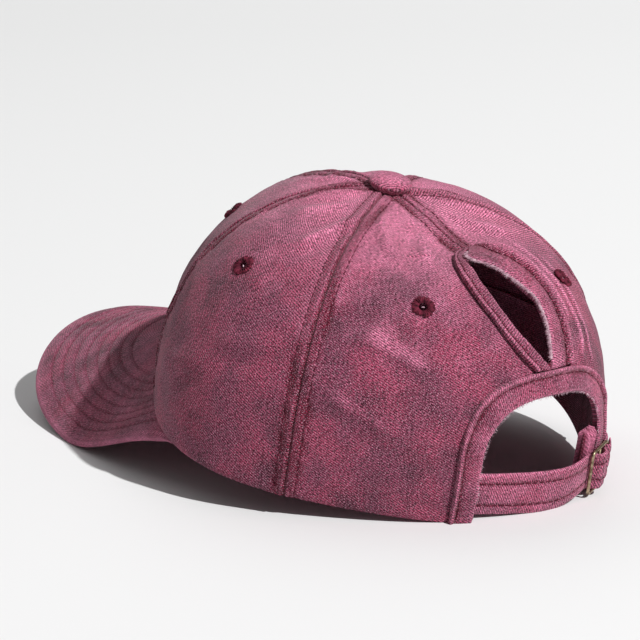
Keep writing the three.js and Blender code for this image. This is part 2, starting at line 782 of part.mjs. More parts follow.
const standing = new THREE.Group();
standing.add(cap);
cap.rotation.x = -Math.atan(floorSlope);
standing.updateMatrixWorld(true);
const box = new THREE.Box3().setFromObject(standing, true);
const centre = box.getCenter(new THREE.Vector3());
cap.position.set(-centre.x, -centre.y, -box.min.z);

export default standing;
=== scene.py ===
"""The washed cotton ponytail cap as it stands on a pale floor.

The cloth is shaped by the same sizes as the CAD pieces, then given its seams, stitching, folds and
worn edges. Shapes are worked out in millimetres on the cap's own level hem and then set down on
the floor where the CAD frame stands.
"""

import math
from itertools import product

import bpy
import numpy as np
from mathutils import Matrix, Vector


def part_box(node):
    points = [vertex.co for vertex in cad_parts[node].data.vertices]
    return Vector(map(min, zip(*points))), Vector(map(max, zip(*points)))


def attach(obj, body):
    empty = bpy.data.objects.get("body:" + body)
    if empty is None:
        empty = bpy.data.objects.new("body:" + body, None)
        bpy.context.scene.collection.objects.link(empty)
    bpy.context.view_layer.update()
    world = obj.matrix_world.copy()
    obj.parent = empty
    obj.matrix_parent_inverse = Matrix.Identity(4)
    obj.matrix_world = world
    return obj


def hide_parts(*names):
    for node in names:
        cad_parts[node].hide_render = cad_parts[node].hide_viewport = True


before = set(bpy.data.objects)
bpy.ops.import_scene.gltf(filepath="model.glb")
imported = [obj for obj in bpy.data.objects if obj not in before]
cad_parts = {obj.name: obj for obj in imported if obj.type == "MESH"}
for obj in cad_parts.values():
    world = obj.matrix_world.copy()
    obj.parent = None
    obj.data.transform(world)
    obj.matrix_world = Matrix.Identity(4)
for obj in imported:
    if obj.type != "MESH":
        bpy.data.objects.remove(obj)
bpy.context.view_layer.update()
bpy.ops.object.select_all(action="DESELECT")

MM = 0.001
BACK = math.pi

# Cloth and thread
GAP = 0.3
CLOTH = 1.6
STITCH_LENGTH = 2.3
STITCH_PITCH = 3.0
STITCH_THICKNESS = 0.42
STITCH_WANDER = 0.15
STITCH_LIFT = 0.12
TWILL_RIB = 0.86
YARN_SPACING = 0.55
SMOOTH_ANGLE = math.radians(50)

# Crown, on its outer face
CROWN_LENGTH = 186
CROWN_WIDTH = 175
CROWN_HEIGHT = 87.25
BACK_SHIFT = 6.7
DIAGONAL_TAKE = 3.8
APEX_FORWARD = 7.8
SQUARENESS = 2.28
BACK_SQUARENESS = 0.35
UNDERTURN = math.radians(7.4)
FRONT_DIP = 4.4
SIDE_DIP = 5.4
FLATTENED_BACK = 9.3
BACK_DENT_DEPTH = 4
BACK_DENT_RISE = 0.84
BACK_DENT_SPREAD = 0.09
BACK_DENT_ANGLE = math.radians(35)

# Seams between the panels, round from the middle of the front
FRONT_SEAM = math.radians(56.5)
SIDE_SEAM = math.radians(120)
SIDE_PANEL_MIDDLE = (FRONT_SEAM + SIDE_SEAM) / 2
SEAM_ROW = 4.2
APEX_HOLE = 3

# Relief of the crown's cloth: waves as (height, size, number of the noise), then what is sewn
CLOTH_WAVES = ((0.60, 27, 1), (0.38, 11, 2), (0.12, 4.5, 3))
TOP_GATHERS = 0.8
HEM_ROLL = 0.35
SEAM_FLANGE = 0.50
SEAM_JOIN = 0.9
SEAM_LAP = 0.45
SEAM_GROOVE = 0.60
SEAM_PUCKERS = 0.55

# Spacing of the points in the crown's cloth: plain, round the arch's head and beside the seams
CLOTH_PITCH = 1.05
ARCH_HEAD_PITCH = 0.35
SEAM_STRIP = 6.4
SEAM_PITCH = 0.42

# Button and eyelets
BUTTON_RADIUS = 8.6
BUTTON_HEIGHT = 5.2
BUTTON_FOOT = -0.55 * BUTTON_RADIUS
EYELET_CLIMBS = {"front": 68, "side": 77, "back": 82}
EYELET_RADIUS = 4.3
EYELET_HOLE = 1.6
EYELET_CUT = EYELET_HOLE + 0.9
EYELET_THREADS = 26
EYELET_FLATNESS = 0.50
EYELET_RISE = 0.25
THREAD_RIDGE = 0.45
THREAD_UNEVENNESS = 0.35
EYELET_RAGGED = 0.14
# A pale speck of painted light in each eyelet's hole: its length, thickness and reach.
LIGHT_SPECK_LENGTH = 1.3
LIGHT_SPECK_THICKNESS = 0.55
LIGHT_SPECK_REACH = 0.8

# Peak
PEAK_REACH = 74
PEAK_NOSE = 89
PEAK_SIDE = 22
PEAK_FLARE = 0.286
PEAK_PITCH = math.radians(22.5)
PEAK_BEND_RADIUS = 77
PEAK_END = math.radians(85.5)
PEAK_THICKNESS = 3
PEAK_RISE_FROM = 0.54
PEAK_END_THINNING = 0.5
PEAK_FIRST_ROW = 7.5
PEAK_ROW_SPACING = 6.2
PEAK_ROW_COUNT = 8
PEAK_STITCH_THICKNESS = 0.34
PEAK_PILLOW = 0.25
PEAK_GROOVE = 0.55
PEAK_PUCKERS = 0.16
PEAK_WAVES = 0.35
PEAK_RIM = 1.1
PEAK_RIM_ANGLES = np.radians([50, 20, -10, -40, -65])
NOSE_SETBACK = 0.8

# Arched opening and its binding
ARCH_HALF_WIDTH = 31.5
ARCH_TOP = 48.6
ARCH_SPRING = 19
ARCH_SQUARENESS = 2.5
ARCH_BINDING_WIDTH = 9
ARCH_LEG = 0.22
STRIP_ROW = 0.74
BINDING_THICKNESS = 1.5
ROW_IN_STRIP = 0.75
STRIP_PUCKERS = 0.24
STRIP_WAVES = 0.16
STRIP_RAGGED = 0.25
PANEL_SETBACK = 1

# Hair slot, from its foot (up 0) to its head (up 1), in shares of its length. The hole's edges and
# the strips' outer edges are shares of its width, wearer's left positive.
SLOT_LENGTH = 61.5
SLOT_WIDTH = 39.6
SLOT_BINDING_THICKNESS = 1.5
SLOT_SECTIONS = {
    "up":          (0.00, 0.10, 0.25, 0.45, 0.62, 0.76, 0.86, 0.95, 1.00),
    "hole_left":   (-.01, 0.08, 0.20, 0.25, 0.26, 0.22, 0.23, 0.11, -.07),
    "hole_right":  (-.01, -.08, -.18, -.24, -.13, -.02, 0.16, 0.05, -.07),
    "outer_left":  (0.17, 0.29, 0.38, 0.44, 0.44, 0.40, 0.31, 0.16, -.01),
    "outer_right": (-.32, -.41, -.49, -.55, -.51, -.44, -.37, -.25, -.14),
}

# How each slot strip lies: its side, outer ridge, lift off the cloth, row of stitches and noise
SLOT_STRIPS = (("left", 1, 0.15, 0.7, 0.62, 51), ("right", -1, 0.7, 0.2, 0.66, 61))
STRIP_END_FADE = 0.6

# Long soft folds beside the slot on the right back panel: how far from its strip, how high and how
# wide, in millimetres, then the shares of the slot's length where each starts and ends
SLOT_FOLDS = (
    (5.0, 0.7, 1.5, 0.25, 1.00),
    (11.5, 0.75, 1.8, 0.02, 0.85),
    (18.5, 0.6, 2.0, -0.10, 0.65),
)

# Soft folds of the crown: turn in degrees and share of the rise where each starts, the same where it
# ends, then its height and width
CROWN_FOLDS = (
    ((100, 0.66), (116, 0.83), 1.3, 2.6),
    ((103, 0.90), (80, 0.74), 0.8, 3.0),
    ((132, 0.90), (141, 0.72), 0.9, 2.6),
    ((160, 0.86), (154, 0.70), 0.9, 2.8),
    ((78, 0.93), (60, 0.80), 0.8, 2.2),
    ((94, 0.30), (113, 0.36), 0.9, 4.5),
    ((70, 0.14), (92, 0.24), 0.8, 5.0),
    ((127, 0.26), (146, 0.16), 0.8, 5.0),
    ((135, 0.44), (152, 0.36), 0.7, 5.0),
    ((204, 0.90), (216, 0.74), 0.9, 2.6),
    ((228, 0.92), (236, 0.76), 0.8, 2.6),
    ((30, 0.90), (22, 0.70), 0.9, 3.0),
    ((-40, 0.88), (-30, 0.66), 0.8, 3.0),
    ((-80, 0.40), (-100, 0.30), 0.8, 5.0),
)

# Sweatband, strap, tab, buckle and spare end
BAND_HEIGHT = 32
BAND_THICKNESS = 1.2
BAND_EASE = 0.3
STRAP_WIDTH = 17
STRAP_IN_BUCKLE = 14.6
STRAP_THICKNESS = 1.6
STRAP_MIDDLE = 10.9
STRAP_ROW = 4
STRAP_GROOVE = 0.22
STRAP_PUCKERS = 0.22
STRAP_WAVES = 0.12
TAB_THICKNESS = 1
TAB_END = 47
BUCKLE_WIDTH = 15
BUCKLE_HEIGHT = 19
BUCKLE_WIRE = 1.4
BUCKLE_BAR_RADIUS = 0.45 * BUCKLE_WIRE
BUCKLE_CORNER = 1.8
BUCKLE_PLACE = 28.3
BUCKLE_MIDDLE = 13.4
BUCKLE_EASE = 0.3
BUCKLE_LEAN = math.radians(5)
BUCKLE_FRONT_OUT = 3.3
SPARE_FOLDS = 4
SPARE_FOLD_WIDTH = 2.1
SPARE_DEPTH = 4
SPARE_FOOT = 8
SPARE_HEAD = 29.5
SPARE_FROM_LEG = 2
SPARE_DOME = 1.6

# Fraying: how many fibres and how long at the slot's right edge and at the arch, and how thick
SLOT_FRAY = (1100, 1.9)
ARCH_FRAY = (320, 0.9)
FIBRE_RADIUS = 0.09

# Camera, from the floor under the middle of the cap
CAMERA_AZIMUTH = math.radians(139.1)
CAMERA_ELEVATION = math.radians(13.48)
CAMERA_DISTANCE = 1151
CAMERA_AIM = (11.4, 17.7, 54.2)
CAMERA_LENS = 163.8
BACK_TO_CAMERA = Vector((
    math.sin(CAMERA_AZIMUTH) * math.cos(CAMERA_ELEVATION),
    -math.cos(CAMERA_AZIMUTH) * math.cos(CAMERA_ELEVATION),
    math.sin(CAMERA_ELEVATION),
))
SCREEN_RIGHT = Vector((0, 0, 1)).cross(BACK_TO_CAMERA).normalized()

# Light: a hard key from the cap's back, a broad weak fill from beyond its peak, a faint surround
KEY_FROM = (-0.038, 0.723, 0.690)
KEY_STRENGTH = 3.65
KEY_SPREAD = math.radians(1.5)
FILL_FROM = (-0.25, -0.72, 0.65)
FILL_STRENGTH = 0.80
FILL_SPREAD = math.radians(75)
SURROUND = 0.17
FLOOR_SIZE = 16
# The floor's colours for the painted shade and painted light across it
FLOOR_IN_PAINTED_SHADE = (0.66, 0.662, 0.66)
FLOOR_IN_PAINTED_LIGHT = (0.86, 0.86, 0.862)

# Numbers of the lattice noise
HASH_STEPS = (73856093, 19349663, 83492791)
HASH_FACTOR = 1274126177
HASH_MASK = 0xFFFFFFFF


# Small helpers

def mix(a, b, share):
    return a + (b - a) * share


def smooth(value, low=0.0, high=1.0):
    share = np.clip((value - low) / (high - low), 0, 1)
    return share * share * (3 - 2 * share)


def bump(value, width):
    return np.exp(-(value / width) ** 2)


def unit(vectors):
    return vectors / np.linalg.norm(vectors, axis=-1, keepdims=True)


def length_along(points):
    return np.concatenate([[0], np.cumsum(np.linalg.norm(np.diff(points, axis=0), axis=-1))])


def lattice_noise(points, size, seed=0):
    """Smooth noise from -1 to 1, with bumps about size apart."""
    q = np.asarray(points, float) / size + 19.7 * seed
    cell = np.floor(q).astype(np.int64)
    part = q - cell
    part = part * part * (3 - 2 * part)
    total = np.zeros(q.shape[:-1])
    for corner in product((0, 1), repeat=q.shape[-1]):
        key = (cell + np.array(corner)) @ np.array(HASH_STEPS[:q.shape[-1]])
        key = ((key ^ (key >> 13)) & HASH_MASK) * HASH_FACTOR
        value = ((key ^ (key >> 16)) & 65535) / 32767.5 - 1
        share = np.where(np.array(corner) == 1, part, 1 - part).prod(axis=-1)
        total += value * share
    return total


def line_noise(along, size, seed=0):
    along = np.asarray(along, float)
    return lattice_noise(np.stack([along, np.full_like(along, 3.3 * seed)], axis=-1), size, seed)


# Shape of the crown: turn is the angle round from the front, rise runs from the hem to the top

def hem_outline(turn):
    side, front = np.sin(turn), np.cos(turn)
    oval = 1 / np.hypot(side / (CROWN_WIDTH / 2), front / (CROWN_LENGTH / 2))
    reach = oval - BACK_SHIFT * front + DIAGONAL_TAKE * np.cos(4 * turn)
    return reach * side, -reach * front


def hem_height(turn):
    return -FRONT_DIP * np.clip(np.cos(turn), 0, None) ** 2 - SIDE_DIP * np.sin(turn) ** 2


def crown_power(turn):
    return 2 / (SQUARENESS - BACK_SQUARENESS * np.cos(turn))


def back_dent(turn, rise):
    around = np.arccos(np.clip(-np.cos(turn), -1, 1)) / BACK_DENT_ANGLE
    return BACK_DENT_DEPTH * bump(around, 1) * bump(rise - BACK_DENT_RISE, BACK_DENT_SPREAD)


def crown_surface(turn, rise):
    turn, rise = np.broadcast_arrays(np.asarray(turn, float), np.asarray(rise, float))
    power = crown_power(turn)
    climb = rise * (math.pi / 2 + UNDERTURN) - UNDERTURN
    spread = (np.clip(np.cos(climb), 0, None) / math.cos(UNDERTURN)) ** power
    below = math.sin(UNDERTURN) ** power
    height = np.sign(climb) * np.abs(np.sin(climb)) ** power
    lift = np.clip((height + below) / (1 + below), 0, None)
    x, y = hem_outline(turn)
    z = mix(hem_height(turn), CROWN_HEIGHT, lift) - back_dent(turn, rise)
    return np.stack([x * spread, y * spread - APEX_FORWARD * lift ** 1.5, z], axis=-1)


def crown_normal(turn, rise):
    step = 0.004
    middle = np.clip(rise, step, 1 - 3 * step)
    around = crown_surface(turn + step, middle) - crown_surface(turn - step, middle)
    upward = crown_surface(turn, middle + step) - crown_surface(turn, middle - step)
    return unit(np.cross(around, upward))


def girth(turn, rise):
    """Millimetres of cloth per radian of turn."""
    step = 0.01
    around = crown_surface(turn + step, rise) - crown_surface(turn - step, rise)
    return np.linalg.norm(around, axis=-1) / (2 * step)


def climb_line(turn):
    rise = np.linspace(0, 1, 301)
    return rise, length_along(crown_surface(turn, rise))


def rise_after(turn, climb):
    rises, climbs = climb_line(turn)
    return np.interp(climb, climbs, rises)


def rise_at_radius(turn, radius):
    x, y = hem_outline(turn)
    cosine = math.cos(UNDERTURN) * (radius / np.hypot(x, y)) ** (1 / crown_power(turn))
    return (np.arccos(cosine) + UNDERTURN) / (math.pi / 2 + UNDERTURN)


BACK_RISES, BACK_CLIMBS = climb_line(BACK)


# Shape of the peak: side runs from -1 to 1 and depth from 0 at the crown to 1 at the edge

def front_of_hem():
    return float(-hem_outline(0.0)[1])


def peak_edge(share):
    corner_x, corner_y = (float(v) for v in hem_outline(PEAK_END))
    nose = -front_of_hem() - PEAK_REACH
    points = (
        (0, nose),
        (PEAK_NOSE, nose),
        (corner_x - PEAK_FLARE * PEAK_SIDE, corner_y - PEAK_SIDE),
        (corner_x, corner_y),
    )
    weights = ((1 - share) ** 3, 3 * share * (1 - share) ** 2, 3 * share ** 2 * (1 - share), share ** 3)
    x = sum(w * p[0] for w, p in zip(weights, points))
    y = sum(w * p[1] for w, p in zip(weights, points))
    return x, y


def peak_surface(side, depth):
    side, depth = np.broadcast_arrays(np.asarray(side, float), np.asarray(depth, float))
    share = np.abs(side)
    turn = side * PEAK_END
    root = crown_surface(turn, 0 * turn) - CLOTH * crown_normal(turn, 0 * turn)
    edge_x, edge_y = peak_edge(share)
    forward = -edge_y - front_of_hem()
    fall = -FRONT_DIP - math.tan(PEAK_PITCH) * forward - edge_x ** 2 / (2 * PEAK_BEND_RADIUS)
    edge_z = mix(fall, hem_height(PEAK_END), smooth(share, PEAK_RISE_FROM, 1))
    return np.stack([
        mix(root[..., 0], edge_x * np.sign(side), depth),
        mix(root[..., 1], edge_y, depth),
        mix(hem_height(turn), edge_z, depth) - GAP,
    ], axis=-1)


def peak_thickness(side):
    return PEAK_THICKNESS * (1 - PEAK_END_THINNING * np.abs(side) ** 6)


# Setting down: the cap tips until the back of its hem and its peak share one floor

FLOOR_PIVOT = float(hem_outline(BACK)[1]) - FLATTENED_BACK
EDGE_SIDES = np.linspace(0, 1, 37)
EDGE_POINTS = peak_surface(EDGE_SIDES, 1)
EDGE_UNDERSIDE = EDGE_POINTS[:, 2] - peak_thickness(EDGE_SIDES)
FLOOR_SLOPE = float(np.max(EDGE_UNDERSIDE / (EDGE_POINTS[:, 1] - FLOOR_PIVOT)))
TILT = math.atan(FLOOR_SLOPE)
PEAK_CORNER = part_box("peak")[0]


def above_floor(points):
    points[..., 2] = np.maximum(points[..., 2], (points[..., 1] - FLOOR_PIVOT) * FLOOR_SLOPE)
    return points


def tipped(points):
    x, y, z = np.moveaxis(points, -1, 0)
    cosine, sine = math.cos(TILT), math.sin(TILT)
    return np.stack([x, y * cosine + z * sine, z * cosine - y * sine], axis=-1)


NOSE = tipped(peak_surface(np.array([0.0]), 1.0) - np.array([0, 0, PEAK_THICKNESS / 2]))[0]
SET_DOWN = np.array([
    0, PEAK_CORNER.y / MM - NOSE[1] + NOSE_SETBACK, FLOOR_PIVOT * math.sin(TILT),
])


def set_down(points):
    """From the level cap in millimetres to the shared frame in metres."""
    return (tipped(points) + SET_DOWN) * MM


def settle(points):
    """Sets cloth down, with what would sink into the floor lifted onto it."""
    return set_down(above_floor(np.array(points, float)))


# Relief of the crown's cloth

SEAMS = (0.0, FRONT_SEAM, SIDE_SEAM, BACK, -SIDE_SEAM, -FRONT_SEAM)
PANELS = (("front", 0.0, FRONT_SEAM), ("side", FRONT_SEAM, SIDE_SEAM), ("back", SIDE_SEAM, BACK))


def turned_from(turn, start):
    """The angle round from start, from -pi to pi."""
    return (turn - start + math.pi) % (2 * math.pi) - math.pi


def seam_distance(turn, rise, seam):
    """Signed millimetres of cloth from a seam, growing to the wearer's left at the front."""
    return turned_from(turn, seam) * girth(turn, rise)


def slot_edge(column, share):
    return SLOT_WIDTH * np.interp(share, SLOT_SECTIONS["up"], SLOT_SECTIONS[column])


SLOT_FOOT = ARCH_TOP + ARCH_BINDING_WIDTH + GAP


def folds_by_slot(turn, rise):
    up = np.interp(rise, BACK_RISES, BACK_CLIMBS)
    across = -seam_distance(turn, rise, BACK)
    share = (up - SLOT_FOOT) / SLOT_LENGTH
    beyond = slot_edge("outer_right", share) - across
    height = np.zeros_like(share)
    for distance, high, wide, start, end in SLOT_FOLDS:
        length = smooth(share, start - 0.15, start + 0.1) * smooth(-share, -end - 0.1, -end + 0.15)
        height += high * length * bump(beyond - distance * (1 - 0.25 * share), wide)
    return height * (across < 0)


def crown_folds(turn, rise):
    height = np.zeros(np.broadcast(turn, rise).shape)
    for (first_turn, first_rise), (last_turn, last_rise), high, wide in CROWN_FOLDS:
        first_turn, last_turn = math.radians(first_turn), math.radians(last_turn)
        reach = girth(np.array((first_turn + last_turn) / 2), np.array((first_rise + last_rise) / 2))
        climb = BACK_CLIMBS[-1]
        run = np.array([(last_turn - first_turn) * reach, (last_rise - first_rise) * climb])
        across = turned_from(turn, first_turn) * reach
        place = np.stack(np.broadcast_arrays(across, (rise - first_rise) * climb), axis=-1)
        share = place @ run / (run @ run)
        away = (place[..., 0] * run[1] - place[..., 1] * run[0]) / math.hypot(*run)
        length = smooth(share, -0.15, 0.25) * smooth(-share, -1.15, -0.75)
        ridge = bump(away, wide) - 0.6 * bump(away - 1.9 * wide, wide)
        height += 1.4 * high * length * ridge
    return height


def soft_relief(turn, rise):
    """Slow waves of the washed cloth, in millimetres outwards."""
    base = crown_surface(turn, rise)
    waves = sum(height * lattice_noise(base, size, number) for height, size, number in CLOTH_WAVES)
    top = np.stack([3 * np.sin(turn), 3 * np.cos(turn), 0.4 * base[..., 2] / 10], axis=-1)
    gathers = TOP_GATHERS * lattice_noise(top, 0.9, 4) * smooth(rise, 0.72, 0.93)
    hem = HEM_ROLL * bump(rise - 0.012, 0.012)
    folds = folds_by_slot(turn, rise) + crown_folds(turn, rise)
    return (waves + gathers) * smooth(rise, 0.0, 0.12) + folds + hem


def seam_puckers(along, number, far):
    """The little heaves of cloth beside a seam's rows of stitching, from about -1 to 1."""
    heaves = line_noise(along, 4.4, 5 + number) + 0.6 * line_noise(along, 2.1, 15 + number)
    return heaves * bump(far - SEAM_ROW, 2.8)


def beside_seams(turn, rise):
    """For each seam, its number, the signed and plain distance from it, and the place along it."""
    base = crown_surface(turn, rise)
    for number, seam in enumerate(SEAMS):
        away = seam_distance(turn, rise, seam)
        along = base[..., 2] + 0.8 * base[..., 1] + 1.6 * np.sign(away)
        yield number, away, np.abs(away), along


def seam_relief(turn, rise):
    """Flanges, joins, stitch rows and the puckers between them."""
    height = np.zeros(np.broadcast(turn, rise).shape)
    for number, away, far, along in beside_seams(turn, rise):
        height += SEAM_FLANGE * smooth(-far, -SEAM_ROW - 1.4, -SEAM_ROW - 0.2)
        height -= SEAM_JOIN * bump(away, 0.5)
        height += SEAM_LAP * bump(away + 1.3, 0.7)
        height -= SEAM_GROOVE * bump(far - SEAM_ROW, 0.8)
        height += SEAM_PUCKERS * seam_puckers(along, number, far)
    return height


def relief(turn, rise):
    return soft_relief(turn, rise) + seam_relief(turn, rise)


def cloth_point(turn, rise, out=0.0, with_seams=True):
    height = relief(turn, rise) if with_seams else soft_relief(turn, rise)
    out = np.asarray(out, float) + height
    return crown_surface(turn, rise) + crown_normal(turn, rise) * out[..., None]


def back_turn(across, up):
    rise = np.interp(np.clip(up, 0, None), BACK_CLIMBS, BACK_RISES)
    return BACK - across / girth(np.full_like(rise, BACK), rise), rise


def on_back(across, up, out, with_relief=True):
    """A place on the back measured on the cloth: across to the wearer's left, up from the hem."""
    across, up, out = np.broadcast_arrays(*(np.asarray(v, float) for v in (across, up, out)))
    turn, rise = back_turn(across, up)
    height = soft_relief(turn, rise) if with_relief else 0
    return above_floor(crown_surface(turn, rise) + crown_normal(turn, rise) * (out + height)[..., None])


# Meshes

def new_object(name, points, faces, parts=None):
    """A mesh object from points in metres. parts holds each point's cloth place, its paling (worn places and
    painted light) and its darkening (stitching colour and painted shade).
    """
    mesh = bpy.data.meshes.new(name)
    corners = [list(map(int, face)) for face in faces]
    mesh.from_pydata(np.asarray(points, float).reshape(-1, 3).tolist(), [], corners)
    mesh.update()
    piece = bpy.data.objects.new(name, mesh)
    bpy.context.scene.collection.objects.link(piece)
    if parts is not None:
        dress(piece, *parts)
    return piece


def dress(piece, place, wear_and_painted_light, red_dye_and_painted_shade):
    """Writes places on the flat cloth, in millimetres, as a UV map, and the pale marks of worn places and
    painted light and the dark marks of stitching colour and painted shade.
    """
    mesh = piece.data
    corner = np.zeros(len(mesh.loops), np.int64)
    mesh.loops.foreach_get("vertex_index", corner)
    layer = mesh.uv_layers.get("cloth") or mesh.uv_layers.new(name="cloth")
    layer.data.foreach_set("uv", (np.asarray(place, float).reshape(-1, 2)[corner] / 100).ravel())
    for name, values in (("wear_and_painted_light", wear_and_painted_light), ("red_dye_and_painted_shade", red_dye_and_painted_shade)):
        layer = mesh.attributes.new(name, "FLOAT", "POINT")
        layer.data.foreach_set("value", np.asarray(values, np.float32).ravel())


def sheet_from_grid(name, points, place, wear_and_painted_light, red_dye_and_painted_shade, thickness, offset=-1.0, keep=None):
    """A wall of cloth: a grid bent to its shape, with holes cut by keep, and given its thickness."""
    columns, rows = points.shape[:2]
    index = np.arange(columns * rows).reshape(columns, rows)
    faces = np.stack([index[:-1, :-1], index[1:, :-1], index[1:, 1:], index[:-1, 1:]], axis=-1)
    faces = faces.reshape(-1, 4)
    if keep is not None:
        faces = faces[keep.reshape(-1)]
    piece = new_object(name, points, faces, (place, wear_and_painted_light, red_dye_and_painted_shade))
    select_only(piece)
    if keep is not None:
        bpy.ops.object.mode_set(mode="EDIT")
        bpy.ops.mesh.select_all(action="SELECT")
        bpy.ops.mesh.delete_loose()
        bpy.ops.object.mode_set(mode="OBJECT")
    wall = piece.modifiers.new("wall", "SOLIDIFY")
    wall.thickness = thickness * MM
    wall.offset = offset
    wall.use_even_offset = False
    bpy.ops.object.modifier_apply(modifier=wall.name)
    bpy.ops.object.shade_smooth_by_angle(angle=SMOOTH_ANGLE)
    return piece


def loft(name, rings, place, wear_and_painted_light, red_dye_and_painted_shade):
    """A closed solid through rings of points, with its two ends capped."""
    count, size = rings.shape[:2]
    index = np.arange(count * size).reshape(count, size)
    after = np.roll(index, -1, axis=1)
    faces = np.stack([index[:-1], after[:-1], after[1:], index[1:]], axis=-1).reshape(-1, 4).tolist()
    faces += [index[0][::-1].tolist(), index[-1].tolist()]
    piece = new_object(name, rings, faces, (place, wear_and_painted_light, red_dye_and_painted_shade))
    face_outwards(piece)
    bpy.ops.object.shade_smooth_by_angle(angle=SMOOTH_ANGLE)
    return piece


def select_only(piece):
    bpy.ops.object.select_all(action="DESELECT")
    piece.select_set(True)
    bpy.context.view_layer.objects.active = piece


def face_outwards(piece):
    select_only(piece)
    bpy.ops.object.mode_set(mode="EDIT")
    bpy.ops.mesh.select_all(action="SELECT")
    bpy.ops.mesh.normals_make_consistent(inside=False)
    bpy.ops.object.mode_set(mode="OBJECT")


def shade_round(piece):
    select_only(piece)
    bpy.ops.object.shade_smooth()


def points_of(piece):
    points = np.zeros(len(piece.data.vertices) * 3)
    piece.data.vertices.foreach_get("co", points)
    return points.reshape(-1, 3)


def move_points(piece, points):
    piece.data.vertices.foreach_set("co", points.ravel())
    piece.data.update()


def settle_in_place(piece, matrix):
    """Puts a piece modelled at the origin in millimetres onto the cap."""
    stand = np.array(matrix)
    move_points(piece, set_down(points_of(piece) @ stand[:3, :3].T + stand[:3, 3]))


# Panels

def panel_rows(back):
    """Rows of the cloth by rise: about a millimetre apart, closer where the arch's head is."""
    total = BACK_CLIMBS[-1]
    stops = [0, ARCH_TOP - 3, ARCH_TOP + 1.4, total] if back else [0, total]
    pitches = [CLOTH_PITCH, ARCH_HEAD_PITCH, CLOTH_PITCH] if back else [CLOTH_PITCH]
    climbs = [np.linspace(low, high, max(2, round((high - low) / pitch)), endpoint=False)
              for low, high, pitch in zip(stops, stops[1:], pitches)]
    return np.append(np.concatenate(climbs), total) / total


def inner_edge(up, side):
    """How far from the back seam a back panel starts: at the arch, at the slot or at the seam."""
    head, half = ARCH_TOP + PANEL_SETBACK, ARCH_HALF_WIDTH + PANEL_SETBACK
    above = np.clip((up - ARCH_SPRING) / (head - ARCH_SPRING), 0, 1)
    arch = half * (1 - above ** ARCH_SQUARENESS) ** (1 / ARCH_SQUARENESS)
    share = (up - SLOT_FOOT) / SLOT_LENGTH
    column = "hole_left" if side > 0 else "hole_right"
    hole = side * slot_edge(column, share) + PANEL_SETBACK / 2
    hole = np.where((share > 0.04) & (share < 0.86), hole, 0)
    return np.maximum(np.where(up < head, arch, 0), hole)


def panel_columns(width):
    """Columns of the cloth: half a millimetre apart beside the seams and a millimetre between."""
    near = np.arange(0, SEAM_STRIP, SEAM_PITCH)
    middle = np.linspace(SEAM_STRIP, width - SEAM_STRIP, round(width - 2 * SEAM_STRIP))
    return np.concatenate([near, middle, width - near[::-1]]) / width


def panel(name, side, start, end):
    back = end == BACK
    rows = panel_rows(back)
    across = panel_columns((end - start) * CROWN_WIDTH / 2)[:, None]
    plain = mix(start, end, across)
    rise = rows[None, :] * rise_at_radius(plain, APEX_HOLE)
    far = end
    if back:
        up = np.interp(rise, BACK_RISES, BACK_CLIMBS)
        far = BACK - inner_edge(up, side) / girth(np.full_like(rise, BACK), rise)
    turn = side * np.broadcast_to(mix(start, far, across), rise.shape)
    points = cloth_point(turn, rise)
    middle = side * (start + end) / 2
    up = np.interp(rise, *climb_line(middle))
    place = np.stack([(turn - middle) * girth(turn, rise), up], axis=-1)
    eyelet, _ = eyelet_place(name, middle)
    centres = (points[:-1, :-1] + points[1:, 1:]) / 2
    keep = np.linalg.norm(centres - eyelet, axis=-1) > EYELET_CUT
    wear_and_painted_light, red_dye_and_painted_shade = cloth_marks(turn, rise)
    points = settle(points)
    if side < 0:
        points, place, wear_and_painted_light, red_dye_and_painted_shade, keep = (v[::-1] for v in (points, place, wear_and_painted_light, red_dye_and_painted_shade, keep))
    node = f"panel_{name}_{'left' if side > 0 else 'right'}"
    piece = sheet_from_grid(f"cloth_{node}", points, place, wear_and_painted_light, red_dye_and_painted_shade, CLOTH, keep=keep)
    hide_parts(node)
    return finish_piece(piece, CROWN_CLOTH)


def cloth_marks(turn, rise):
    """Pale where the cloth is worn on what stands proud, paler to the top as painted light, darker at the
    foot and at the side panels' foot as painted shade, and the dark crimson that stays along the stitching.
    """
    # Painted shade: darker at the crown's foot, and darker still at the foot of the side panels. Painted
    # light: paler towards the top.
    foot = smooth(-rise, -0.50, -0.20)
    painted_side_shade = bump(np.abs(turn) - SIDE_PANEL_MIDDLE, 0.5) * smooth(-rise, -0.60, -0.40)
    wear_and_painted_light = 0.7 * smooth(soft_relief(turn, rise), 0.5, 1.6) + 1.0 * smooth(rise, 0.45, 0.95)
    wear_and_painted_light -= 0.35 * foot + 0.30 * painted_side_shade
    wear_and_painted_light += 1.2 * smooth(folds_by_slot(turn, rise), 0.25, 0.7)
    red_dye_and_painted_shade = np.zeros_like(wear_and_painted_light)
    for number, away, far, along in beside_seams(turn, rise):
        heaves = seam_puckers(along, number, far)
        uneven = 0.7 + 0.6 * line_noise(along, 6.5, 30 + number)
        red_dye_and_painted_shade += bump(far - SEAM_ROW, 1.7) * (1.2 * uneven - 0.6 * heaves).clip(0.5)
        red_dye_and_painted_shade += 0.9 * bump(away, 0.7)
        red_dye_and_painted_shade += 0.55 * smooth(-far, -SEAM_ROW, -SEAM_ROW + 1.2) * (uneven + 0.2).clip(0.1)
        wear_and_painted_light += 0.7 * smooth(heaves, 0.15, 0.8) + 0.5 * bump(away + 1.4, 0.7)
    return wear_and_painted_light.clip(-0.6, 1), red_dye_and_painted_shade.clip(0, 1)


def eyelet_place(name, turn):
    rise = float(rise_after(turn, EYELET_CLIMBS[name]))
    point = cloth_point(np.array(turn), np.array(rise))
    return point, crown_normal(np.array(turn), np.array(rise))


# Materials

